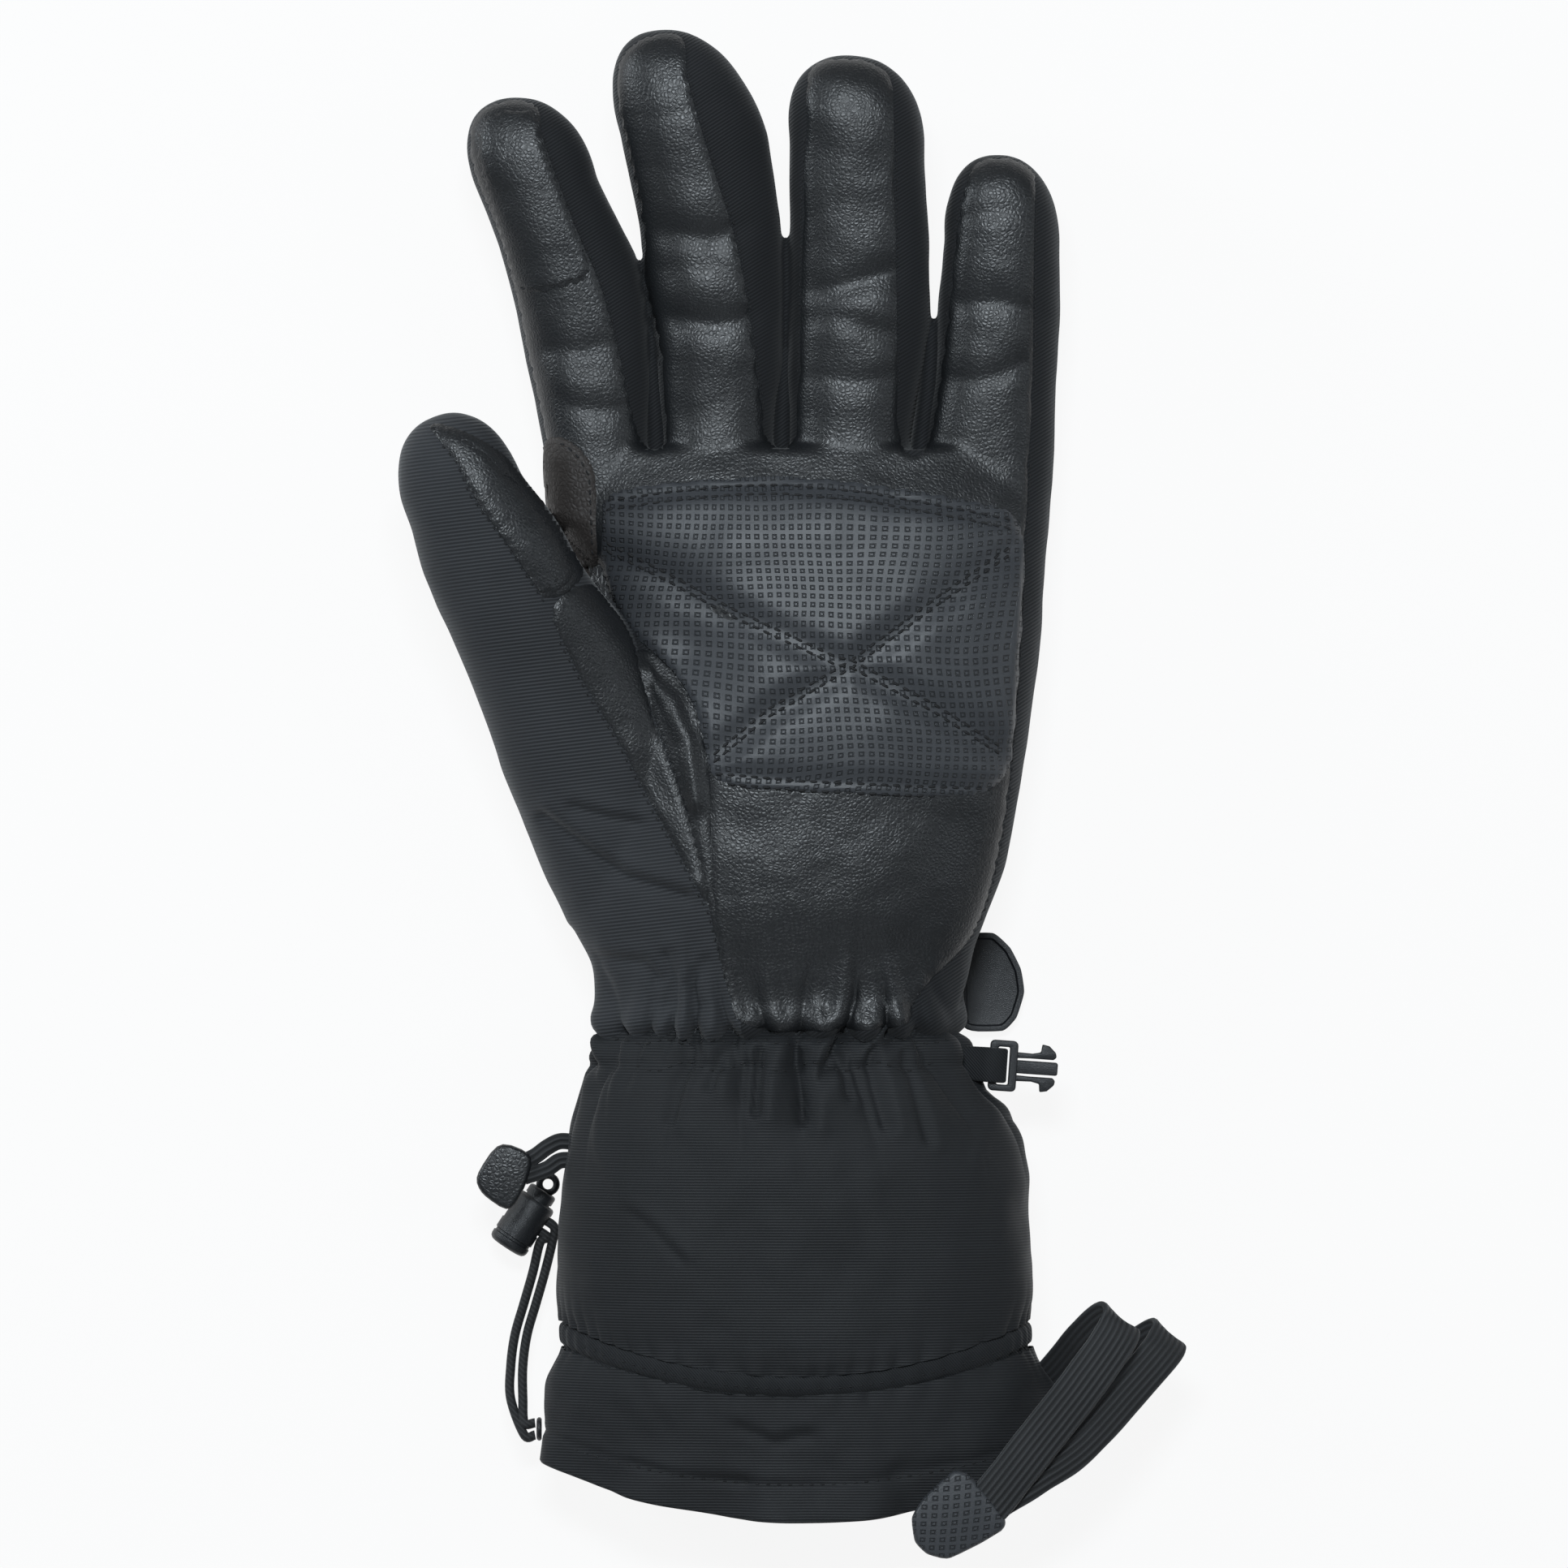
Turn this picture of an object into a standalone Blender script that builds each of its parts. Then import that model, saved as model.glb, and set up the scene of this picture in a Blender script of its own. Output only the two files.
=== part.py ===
"""An insulated ski glove for the left hand with a long gauntlet, lying on its back with the palm up.

X runs across the palm to the little finger's side, Y to the fingertips and Z up out of the palm. Every size
below is in millimetres and MM turns it into Blender's metres. Fingers, palm and cuff are tubes given by rows
(y, left, right, low, high); each layer of the glove is the same tube, set in by the layers outside it.
"""

import math

import bmesh
import bpy
from mathutils import Matrix, Vector
from mathutils.bvhtree import BVHTree

MM = 0.001

# Layers, from the outside in.
SHELL = 1.3
LINING = 2.6
CUFF_LINING = 1.5
GAP = 0.3
LINING_GAP = 1.0
FLOOR_GAP = 0.4

# Sections: 2 is an ellipse and more is squarer. The underside is pressed flat where the glove lies on it.
ROUND = 2.5
PRESS = 1.1
FINGER_SIDES = 12
PALM_SIDES = 20
CUFF_SIDES = 20
ARC_STEPS = 5
TIP_STEPS = (0.5, 0.83, 0.998)

# Fingers: rows (y, middle, width, height of the middle, depth) from inside the palm outwards, the tip
# (y, middle, height), the joint's y, and the front leather's seams as shares of the half width.
FINGER_CLEARANCE = 1.2
FINGERS = {
    "index": {
        "rows": [
            (62.0, -43.3, 25.0, 16.5, 26.0),
            (80.5, -44.8, 25.7, 16.5, 26.0),
            (100.3, -46.8, 30.1, 18.0, 26.0),
            (118.3, -50.5, 31.5, 20.5, 25.5),
            (136.3, -58.1, 29.0, 23.0, 24.0),
        ],
        "tip": (153.4, -62.0, 25.0),
        "joint": 105.0,
        "seams": (-0.97, 0.30),
    },
    "middle": {
        "rows": [
            (62.0, -17.5, 27.0, 17.0, 28.0),
            (82.3, -17.5, 27.0, 17.0, 28.0),
            (100.3, -17.2, 30.1, 18.5, 28.0),
            (118.3, -18.2, 32.8, 20.5, 27.5),
            (145.3, -22.8, 34.0, 25.0, 26.0),
        ],
        "tip": (168.3, -29.0, 28.0),
        "joint": 109.3,
        "seams": (-0.97, 0.22),
    },
    "ring": {
        "rows": [
            (62.0, 11.0, 28.5, 17.0, 28.0),
            (77.8, 11.7, 29.2, 17.0, 28.0),
            (100.3, 13.5, 32.8, 18.5, 28.0),
            (118.3, 13.8, 32.6, 20.5, 27.0),
            (145.3, 13.2, 30.8, 25.0, 24.5),
        ],
        "tip": (162.7, 11.4, 27.0),
        "joint": 109.3,
        "seams": (-0.78, 0.52),
    },
    "little": {
        "rows": [
            (58.0, 41.0, 31.0, 16.0, 26.0),
            (75.1, 42.0, 31.5, 16.0, 26.0),
            (95.8, 44.2, 28.6, 17.5, 25.5),
            (113.8, 45.0, 27.7, 20.0, 24.5),
            (122.8, 45.5, 26.5, 21.5, 23.5),
        ],
        "tip": (141.1, 44.0, 24.0),
        "joint": 101.0,
        "seams": (-0.80, 0.53),
    },
}
# The thumb's rows lie in its own frame: its joint is the origin and y runs along the thumb.
THUMB = {
    "rows": [
        (-71.5, -3.3, 40.0, 20.0, 30.0),
        (-48.3, -0.2, 42.0, 23.0, 32.0),
        (-26.4, 1.0, 39.0, 27.0, 31.0),
        (-6.7, -0.1, 32.0, 33.0, 28.0),
        (10.1, 0.1, 30.0, 37.0, 26.5),
        (21.0, 0.3, 26.0, 39.0, 25.0),
    ],
    "tip": (41.0, 1.4, 40.0),
    "joint": 0.0,
    "seams": (0.27, -0.60),
}
THUMB_JOINT = (-63.0, 45.0)
THUMB_AXIS = (0.888, 0.460)
SLEEVE_HALF = 8.0

# The palm: rows (y, left, right, low, high) from the fingers' roots down to the wrist.
PALM_ROWS = [
    (76.0, -54.5, 56.0, 3.0, 31.0),
    (64.3, -54.0, 56.0, 0.0, 35.0),
    (57.0, -51.5, 55.5, 0.0, 37.0),
    (49.0, -46.0, 55.0, 0.0, 38.0),
    (36.0, -43.5, 54.0, 0.0, 40.0),
    (19.3, -47.5, 52.2, 0.0, 41.0),
    (1.3, -50.5, 49.5, 0.0, 41.0),
    (-16.7, -53.0, 45.9, 0.0, 40.0),
    (-28.0, -50.0, 41.2, 4.9, 39.0),
    (-38.0, -45.0, 38.0, 4.9, 37.5),
    (-47.0, -42.6, 36.4, 4.9, 36.0),
]
# The cuff: rows (y, left, right, low, high, bow) where the sides lie bow further up than the middle.
WRIST_ROWS = [
    (-47.3, -42.6, 36.4, 4.9, 36.0, 0.0),
    (-53.0, -42.5, 35.6, 4.9, 35.5, 0.0),
    (-60.0, -44.5, 37.5, 4.4, 37.0, 0.0),
]
GAUNTLET_ROWS = [
    (-60.3, -44.6, 37.6, 4.4, 37.2, 0.0),
    (-65.0, -46.2, 38.8, 2.0, 39.0, 0.0),
    (-71.5, -48.4, 45.4, 0.6, 40.5, 0.5),
    (-82.0, -50.4, 49.8, 0.0, 42.0, 2.0),
    (-101.0, -53.2, 52.0, 0.0, 42.0, 5.0),
    (-117.0, -53.8, 52.4, 0.0, 40.5, 8.5),
    (-127.7, -53.4, 52.0, 0.0, 39.5, 11.4),
]
BAND_ROWS = [
    (-128.0, -52.0, 51.4, 0.0, 39.0, 11.4),
    (-130.2, -51.6, 51.0, 0.0, 38.6, 10.4),
    (-132.4, -52.0, 51.6, 0.0, 38.4, 9.4),
]
SKIRT_ROWS = [
    (-132.7, -52.4, 52.4, 0.0, 38.0, 9.4),
    (-139.0, -54.6, 55.6, 0.0, 37.5, 10.2),
    (-149.0, -56.4, 58.6, 0.0, 36.5, 11.8),
    (-160.4, -57.5, 60.0, 0.0, 36.0, 13.0),
]

# Seams of the hand's front, seen from above, each a little past the shell where it only runs out.
SEAM_HEIGHT = 17.35
CUT_TOP = 90.0
PALM_SEAM = [
    (-14.2, -50.0), (-16.4, -35.5), (-18.9, -25.0), (-18.9, -2.5), (-20.0, 11.2), (-22.1, 19.3),
    (-26.1, 25.6), (-31.0, 30.4), (-36.0, 34.0), (-41.0, 43.0), (-46.0, 50.5), (-58.0, 51.5),
    (-60.0, 72.0), (-55.0, 79.0), (-60.5, 99.0),
    (-39.6, 99.0), (-37.1, 86.8), (-35.5, 79.2), (-31.6, 76.0), (-29.9, 78.1), (-29.0, 91.6), (-30.8, 103.0),
    (-9.7, 103.0), (-7.6, 81.7), (-3.4, 78.0), (-0.2, 82.0), (0.7, 92.2), (1.1, 103.0), (21.8, 103.0),
    (22.1, 88.7), (22.3, 76.7), (26.0, 73.0), (29.7, 76.7), (31.6, 95.0), (52.0, 95.0), (51.1, 75.4),
    (50.8, 64.8), (49.3, 39.0), (48.2, 21.0), (46.4, -0.5), (42.8, -20.3), (39.4, -30.0), (36.0, -34.7),
    (29.2, -41.0), (23.6, -50.0),
]
GUSSET_SEAM = [
    (-14.0, -42.0), (-18.9, -26.6), (-26.1, -13.0), (-31.7, -3.2), (-38.9, 11.2), (-45.4, 21.6),
    (-54.2, 38.0), (-60.0, 50.0), (-42.0, 50.0), (-30.0, 34.0), (-14.0, 20.0), (-14.0, 0.0),
]
THUMB_SEAM = [(-5.0, -50.0), (-5.0, 0.0), (-20.0, 30.0), (-40.0, 60.0), (-100.0, 60.0), (-100.0, -50.0)]
CROTCH_WIDTH = 9.0
CROTCH_SPAN = (-4.0, 34.0)
CROTCH_LOW = 7.0
CROTCH_TOP = 60.0
CROTCHES = {"index_middle": (-31.6, 73.0), "middle_ring": (-3.4, 75.0), "ring_little": (27.0, 70.0)}

# Pieces draped over the palm: left and right edges from the wrist's end up.
PATCH_LIFT = 0.95
PATCH_THICK = 1.4
PATCH_COLUMNS = 11
PATCH_SPLIT = 2
GRIP_LEFT = [(-18.4, 1.4), (-20.5, 12.0), (-23.5, 19.5), (-29.0, 26.6), (-35.6, 32.4), (-40.4, 47.0),
             (-43.0, 66.4)]
GRIP_RIGHT = [(46.0, 1.4), (47.0, 12.0), (47.5, 19.5), (48.0, 26.6), (48.4, 36.0), (49.0, 50.0), (50.2, 61.7)]
CROTCH_PATCH_LEFT = [(-46.9, 54.0), (-49.6, 59.0), (-51.4, 66.0), (-52.0, 73.0)]
CROTCH_PATCH_RIGHT = [(-44.6, 54.0), (-44.5, 59.0), (-44.6, 66.0), (-46.2, 73.0)]
CROTCH_PATCH_COLUMNS = 3
TOUCH_TIP_START = 119.0
TIP_PATCH_THICK = 1.0
TIP_PATCH_GAP = 0.45
TIP_PATCH_ANGLE = 0.1
THUMB_TIP_START = 14.0

# The wrist strap lies under the wrist: it runs to the ring, folds back and is held by hook and loop.
STRAP_WIDTH = 20.0
STRAP_THICK = 1.0
STRAP_Y = -42.0
PAD_THICK = 0.6
PAD_WIDTH = 17.0
PAD_SPAN = (-26.0, 22.0)
STRAP_END_X = 36.0
RING_WIRE = 1.2
RING_WIDTH = 26.0
RING_LENGTH = 9.0
RING_BAR_X = -31.0
FLAP_GAP = 1.2
TAB_LENGTH = 13.5
TAB_WIDTH = 22.0
TAB_THICK = 3.0
TAB_RIM = 1.2
TAB_CORNER = 7.0
TAB_SINK = 0.8
RING_ANCHOR_WIDTH = 18.0
RING_ANCHOR_THICK = 0.8
RING_ANCHOR_TURN = 1.55
RING_ANCHOR_LENGTH = 3.6

# Buckle: the male half of a side-release buckle on a webbing loop in the cuff's side seam.
BUCKLE_AT = (43.4, -60.2, 24.0)
BUCKLE_TURN = -4.0
BUCKLE_THICK = 3.2
BUCKLE_FRAME = (6.2, 11.2)
BUCKLE_SLOT = (2.6, 8.4)
BUCKLE_STEM = (9.4, 2.9)
STEM_SET_IN = 0.5
PRONG = [(0.0, 2.9), (5.4, 2.6), (5.6, 5.3), (7.4, 5.0), (8.9, 3.2), (8.7, 1.9), (0.0, 2.2)]
PRONG_SET_IN = 0.4
WEB_THICK = 1.0
WEB_WIDTH = 7.6
WEB_LENGTH = 4.4
WEB_CLEARANCE = 0.5

# Leash: ribbed elastic from the side of the hem to a leather tab that lies over the skirt's corner.
ELASTIC_WIDTH = 10.0
ELASTIC_THICK = 1.4
LEASH_UPPER = [(57.95, -129.0, 20.7), (64.5, -120.5, 27.0), (69.5, -115.8, 32.5), (70.6, -118.5, 37.0),
               (62.5, -130.0, 40.2), (53.0, -142.0, 41.6), (43.6, -154.0, 41.4)]
LEASH_LOWER = [(60.35, -136.6, 15.7), (70.0, -127.5, 19.5), (80.2, -120.0, 24.5), (81.3, -122.0, 29.5),
               (72.0, -132.5, 34.0), (62.0, -143.0, 37.6), (52.5, -149.5, 39.2), (43.6, -155.0, 39.3)]
LEASH_TAB = [(34.4, -148.4), (38.0, -149.4), (46.8, -160.6), (40.5, -164.5), (33.0, -168.2), (28.4, -167.0),
             (25.7, -164.3), (25.0, -159.0), (27.7, -154.6)]
LEASH_TAB_LOW = 38.2
LEASH_TAB_THICK = 4.0
LEASH_ACROSS = (0.75, -0.66, 0.0)
LEASH_STEPS = 18

# Pull loop: two ribbed strips from the cuff's side seam to a leather tab.
PULL_WIDTH = 3.6
PULL_THICK = 1.2
PULL_SPREAD = 2.4
PULL_START = (-52.6, -79.4, 20.6)
PULL_END = (-58.0, -82.4, 20.6)
PULL_TAB = [(-58.3, -80.1), (-66.1, -77.0), (-71.5, -85.1), (-70.0, -88.9), (-63.7, -93.2), (-60.0, -87.0)]
PULL_TAB_THICK = 3.4

# Cord lock and drawcord.
CORD = 2.1
CORD_CLEARANCE = 0.35
LOCK_AT = (-61.4, -96.2, 7.0)
LOCK_AXIS = (0.55, 0.835)
BARREL_RADIUS = 4.6
BARREL_LENGTH = 12.6
BARREL_FLOOR = 1.6
BARREL_EDGE = 0.7
LATHE_SIDES = 20
PLUNGER_RADIUS = 3.3
PLUNGER_OUT = 2.6
PLUNGER_EDGE = 0.4
PLUNGER_TRAVEL = 2.0
LOCK_GAP = 0.35
SPRING_RADIUS = 2.1
SPRING_WIRE = 0.5
SPRING_TURNS = 3.5
SPRING_STEPS = 9
SLOT_UP = 2.0
CORD_SPREAD = 1.35
EYE_SIZE = (5.4, 2.6, 4.4)
EYE_HOLE = 1.0
EYE_SUNK = 0.6
EYELET_AT = (-57.4, -141.5, 14.0)
EYELET_RADIUS = 2.6
EYELET_THICK = 1.0
CORD_MIDDLE = [(-56.0, -100.4, 7.0), (-57.6, -107.0, 7.0), (-59.6, -114.0, 7.0), (-61.6, -121.0, 7.0),
               (-62.5, -128.0, 8.5), (-62.4, -135.0, 11.5)]
CORD_STEPS = 23
CORD_IN_LOCK = (-1.6, 2.2, 6.4)
CORD_LEAD = 2.4

# Where the moving pieces turn or slide: each set hangs on an empty on its joint's axis.
KNUCKLE_HEIGHTS = {"index": 18.65, "middle": 19.5, "ring": 19.5, "little": 18.2, "thumb": 34.6}
KNUCKLE_X = {"index": -47.8, "middle": -17.7, "ring": 13.65, "little": 44.4}
PEEL_AT = (RING_BAR_X + 1.4, STRAP_Y, 0.35)
LEASH_SWING_AT = (59.0, -132.0, 14.5)

# Material: colour, roughness and metallic value.
BLACK_LEATHER = ("black_leather", (0.018, 0.018, 0.019), 0.42, 0.0)
BROWN_LEATHER = ("dark_brown_leather", (0.032, 0.024, 0.021), 0.5, 0.0)
SOFTSHELL = ("softshell_twill", (0.022, 0.022, 0.024), 0.75, 0.0)
RIBBED_NYLON = ("ribbed_nylon", (0.016, 0.016, 0.018), 0.62, 0.0)
LINING_CLOTH = ("lining_fleece", (0.03, 0.03, 0.032), 0.95, 0.0)
ELASTIC = ("ribbed_elastic", (0.025, 0.025, 0.026), 0.8, 0.0)
PLASTIC = ("moulded_plastic", (0.02, 0.02, 0.021), 0.35, 0.0)
STEEL = ("spring_steel", (0.55, 0.55, 0.56), 0.3, 1.0)


def clear_scene():
    for obj in list(bpy.data.objects):
        bpy.data.objects.remove(obj, do_unlink=True)


def material(spec):
    name, colour, roughness, metallic = spec
    found = bpy.data.materials.get(name)
    if found:
        return found
    made = bpy.data.materials.new(name)
    made.use_nodes = True
    shader = made.node_tree.nodes["Principled BSDF"]
    shader.inputs["Base Color"].default_value = (*colour, 1.0)
    shader.inputs["Roughness"].default_value = roughness
    shader.inputs["Metallic"].default_value = metallic
    return made


def finished(name, mesh_data, spec, matrix=None):
    """Links a bmesh, given in millimetres, as an object in metres with its normals facing out."""
    bmesh.ops.recalc_face_normals(mesh_data, faces=mesh_data.faces)
    bmesh.ops.scale(mesh_data, vec=(MM, MM, MM), verts=mesh_data.verts)
    if matrix is not None:
        bmesh.ops.transform(mesh_data, matrix=matrix, verts=mesh_data.verts)
    mesh = bpy.data.meshes.new(name)
    mesh_data.to_mesh(mesh)
    mesh_data.free()
    obj = bpy.data.objects.new(name, mesh)
    bpy.context.scene.collection.objects.link(obj)
    if spec:
        mesh.materials.append(material(spec))
        mesh.shade_smooth()
        mesh.set_sharp_from_angle(angle=math.radians(40))
    return obj


def drop(obj):
    bpy.data.objects.remove(obj, do_unlink=True)


def carve(target, cutter, operation):
    """Applies one Boolean and removes the cutter; the exact solver loses the hand's thin shell."""
    modifier = target.modifiers.new(operation.lower(), "BOOLEAN")
    modifier.operation = operation
    modifier.solver = "MANIFOLD"
    modifier.object = cutter
    graph = bpy.context.evaluated_depsgraph_get()
    mesh = bpy.data.meshes.new_from_object(target.evaluated_get(graph))
    target.modifiers.clear()
    target.data = mesh
    drop(cutter)
    return target


def copied(obj, name):
    twin = obj.copy()
    twin.data = obj.data.copy()
    twin.name = name
    bpy.context.scene.collection.objects.link(twin)
    return twin


def whole(obj, spec):
    """Keeps the object's largest body and gives it its material."""
    mesh_data = bmesh.new()
    mesh_data.from_mesh(obj.data)
    left = set(mesh_data.faces)
    bodies = []
    while left:
        grow = [left.pop()]
        body = set(grow)
        while grow:
            face = grow.pop()
            for edge in face.edges:
                near = [other for other in edge.link_faces if other in left]
                if len(edge.link_faces) == 2 and near:
                    left.discard(near[0])
                    body.add(near[0])
                    grow.append(near[0])
        bodies.append(body)
    largest = max(bodies, key=lambda body: sum(face.calc_area() for face in body))
    spare = [face for body in bodies if body is not largest for face in body]
    bmesh.ops.delete(mesh_data, geom=spare, context="FACES")
    bmesh.ops.recalc_face_normals(mesh_data, faces=mesh_data.faces)
    mesh_data.to_mesh(obj.data)
    mesh_data.free()
    obj.data.materials.clear()
    obj.data.materials.append(material(spec))
    obj.data.shade_smooth()
    obj.data.set_sharp_from_angle(angle=math.radians(40))
    return obj


# Rows and sections.
def row_at(rows, y):
    """The row at y, read between its neighbours; past either end it keeps the end row's section."""
    ordered = sorted(rows)
    if y <= ordered[0][0]:
        return (y, *ordered[0][1:])
    for first, second in zip(ordered, ordered[1:]):
        if y <= second[0]:
            share = (y - first[0]) / (second[0] - first[0])
            return (y, *(a + (b - a) * share for a, b in zip(first[1:], second[1:])))
    return (y, *ordered[-1][1:])


def rows_between(rows, start, stop):
    inner = [row for row in sorted(rows) if start + 1.0 < row[0] < stop - 1.0]
    return [row_at(rows, start), *inner, row_at(rows, stop)]


def edges_of(row):
    """A finger's row, given by middle and size, as (y, left, right, low, high)."""
    y, middle, width, height, depth = row
    half = (width - FINGER_CLEARANCE) / 2
    return (y, middle - half, middle + half, height - depth / 2, height + depth / 2)


def finger_edges(finger):
    return [edges_of(row) for row in finger["rows"]]


def set_in(row, inset):
    y, left, right, low, high, *bow = row
    return (y, left + inset, right - inset, low + inset, high - inset, *bow)


def tip_rows(finger, inset):
    """Rows that round the last full row off to the tip."""
    y, left, right, low, high = set_in(finger_edges(finger)[-1], inset)
    tip_y, tip_middle, tip_height = finger["tip"]
    middle, height = (left + right) / 2, (low + high) / 2
    rows = []
    for share in TIP_STEPS:
        scale = math.sqrt(1 - share**2)
        x = middle + (tip_middle - middle) * share
        z = height + (tip_height - height) * share
        half, rise = (right - left) / 2 * scale, (high - low) / 2 * scale
        rows.append((y + (tip_y - inset - y) * share, x - half, x + half, z - rise, z + rise))
    return rows


def finger_rows(finger, inset, start, stop=None):
    """Rows set in by inset from start to stop, or to the tip where no stop is given."""
    edges = finger_edges(finger)
    last = edges[-1][0]
    if stop is not None:
        return [set_in(row, inset) for row in rows_between(edges, start, stop)]
    full = [set_in(row, inset) for row in rows_between(edges, start, last)]
    return full + tip_rows(finger, inset)


def power(value):
    return math.copysign(abs(value) ** (2 / ROUND), value)


def section(row, angles):
    """Points of one row's outline at these angles, counted from +X towards +Z."""
    y, left, right, low, high, *bow = row
    half, rise = (right - left) / 2, (high - low) / 2
    points = []
    for angle in angles:
        across, up = power(math.cos(angle)), power(math.sin(angle))
        z = (low + high) / 2 + rise * up * (PRESS if up < 0 else 1.0)
        y_here = y + (bow[0] if bow else 0.0) * across**2
        points.append(Vector(((left + right) / 2 + half * across, y_here, max(z, low))))
    return points


def turn(sides):
    return [2 * math.pi * step / sides for step in range(sides)]


def arc(row, start, stop, steps):
    """Angles from start to stop, each end half a gap short."""
    spare = GAP / 2 / max((row[2] - row[1]) / 2, 0.3)
    return [start + spare + (stop - start - 2 * spare) * step / steps for step in range(steps + 1)]


def seam_angle(share):
    return math.acos(math.copysign(abs(share) ** (ROUND / 2), share))


# Solids.
def strip_faces(mesh_data, loops, closed):
    """Quads between each loop of vertices and the next."""
    for first, second in zip(loops, loops[1:]):
        count = len(first)
        for i in range(count if closed else count - 1):
            j = (i + 1) % count
            mesh_data.faces.new((first[i], first[j], second[j], second[i]))


def layer(name, outer, inner, closed, spec, matrix=None, capped=False):
    """A wall between two stacks of loops, open at both ends, or closed at the far end as a cup."""
    mesh_data = bmesh.new()
    outside = [[mesh_data.verts.new(point) for point in loop] for loop in outer]
    inside = [[mesh_data.verts.new(point) for point in loop] for loop in inner]
    strip_faces(mesh_data, outside, closed)
    strip_faces(mesh_data, inside, closed)
    strip_faces(mesh_data, [outside[0], inside[0]], closed)
    if capped:
        mesh_data.faces.new(outside[-1])
        mesh_data.faces.new(inside[-1])
    else:
        strip_faces(mesh_data, [outside[-1], inside[-1]], closed)
    if not closed:
        for side in (0, -1):
            edge_out = [loop[side] for loop in outside]
            edge_in = [loop[side] for loop in inside]
            strip_faces(mesh_data, [edge_out, edge_in], False)
    return finished(name, mesh_data, spec, matrix)


def solid_tube(name, rows, sides, matrix=None):
    mesh_data = bmesh.new()
    loops = [[mesh_data.verts.new(point) for point in section(row, turn(sides))] for row in rows]
    strip_faces(mesh_data, loops, True)
    mesh_data.faces.new(loops[0])
    mesh_data.faces.new(loops[-1])
    return finished(name, mesh_data, None, matrix)


def ring_layer(name, rows, thick, sides, spec, inset=0.0, matrix=None, capped=False):
    outer = [section(set_in(row, inset), turn(sides)) for row in rows]
    inner = [section(set_in(row, inset + thick), turn(sides)) for row in rows]
    return layer(name, outer, inner, True, spec, matrix, capped)


def arc_layer(name, outer_rows, inner_rows, span, steps, spec, matrix=None):
    """A panel over the angles of span."""
    outer = [section(row, arc(row, *span, steps)) for row in outer_rows]
    inner = [section(row, arc(row, *span, steps)) for row in inner_rows]
    return layer(name, outer, inner, False, spec, matrix)


def prism(name, outline, low, high, matrix=None, spec=None):
    mesh_data = bmesh.new()
    loops = [[mesh_data.verts.new((x, y, z)) for x, y in outline] for z in (low, high)]
    strip_faces(mesh_data, loops, True)
    mesh_data.faces.new(loops[0])
    mesh_data.faces.new(loops[1])
    return finished(name, mesh_data, spec, matrix)


def grown(outline, by):
    """The outline moved outwards by this much along the mean normal at each corner."""
    area = sum(a[0] * b[1] - b[0] * a[1] for a, b in zip(outline, outline[1:] + outline[:1]))
    side = math.copysign(1.0, area)
    moved = []
    for before, here, after in zip(outline[-1:] + outline[:-1], outline, outline[1:] + outline[:1]):
        into = (Vector(here) - Vector(before)).normalized()
        out = (Vector(after) - Vector(here)).normalized()
        normal = Vector((into.y + out.y, -into.x - out.x)) * side
        normal.normalize()
        stretch = max(normal.dot(Vector((into.y, -into.x)) * side), 0.4)
        moved.append((here[0] + normal.x * by / stretch, here[1] + normal.y * by / stretch))
    return moved


def box(name, low, high, spec=None, matrix=None):
    outline = [(low[0], low[1]), (high[0], low[1]), (high[0], high[1]), (low[0], high[1])]
    return prism(name, outline, low[2], high[2], matrix, spec)


def lathe(name, profile, sides, spec, matrix):
    """A closed profile of (radius, height) turned about the local Z axis; radius 0 lies on the axis."""
    mesh_data = bmesh.new()
    rings = []
    for radius, height in profile:
        if radius == 0:
            rings.append([mesh_data.verts.new((0, 0, height))] * sides)
        else:
            rings.append([mesh_data.verts.new((radius * math.cos(a), radius * math.sin(a), height))
                          for a in turn(sides)])
    for first, second in zip(rings, rings[1:]):
        for i in range(sides):
            j = (i + 1) % sides
            corners = []
            for corner in (first[i], first[j], second[j], second[i]):
                if corner not in corners:
                    corners.append(corner)
            if len(corners) > 2:
                mesh_data.faces.new(corners)
    return finished(name, mesh_data, spec, matrix)


def placed(at, x_axis, z_axis=(0, 0, 1)):
    """A matrix with its origin at a point in millimetres, its X axis in the XY plane and its Z axis given."""
    x = Vector((*x_axis, 0)).normalized() if len(x_axis) == 2 else Vector(x_axis).normalized()
    z = Vector(z_axis).normalized()
    y = z.cross(x)
    matrix = Matrix((x, y, z)).transposed().to_4x4()
    matrix.translation = Vector(at) * MM
    return matrix


def ribbon(name, path, width, thick, across, spec, matrix=None):
    """A flat band along a path; across gives the direction of its width at each point, or for all of them."""
    mesh_data = bmesh.new()
    points = [Vector(point) for point in path]
    loops = []
    for i, point in enumerate(points):
        ahead = points[min(i + 1, len(points) - 1)] - points[max(i - 1, 0)]
        wide = Vector(across[i] if isinstance(across, list) else across)
        wide = (wide - ahead.normalized() * wide.dot(ahead.normalized())).normalized() * width / 2
        up = wide.cross(ahead).normalized() * thick / 2
        loops.append([mesh_data.verts.new(point + corner)
                      for corner in (wide + up, up - wide, -wide - up, wide - up)])
    strip_faces(mesh_data, loops, True)
    mesh_data.faces.new(loops[0])
    mesh_data.faces.new(loops[-1])
    return finished(name, mesh_data, spec, matrix)


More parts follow.
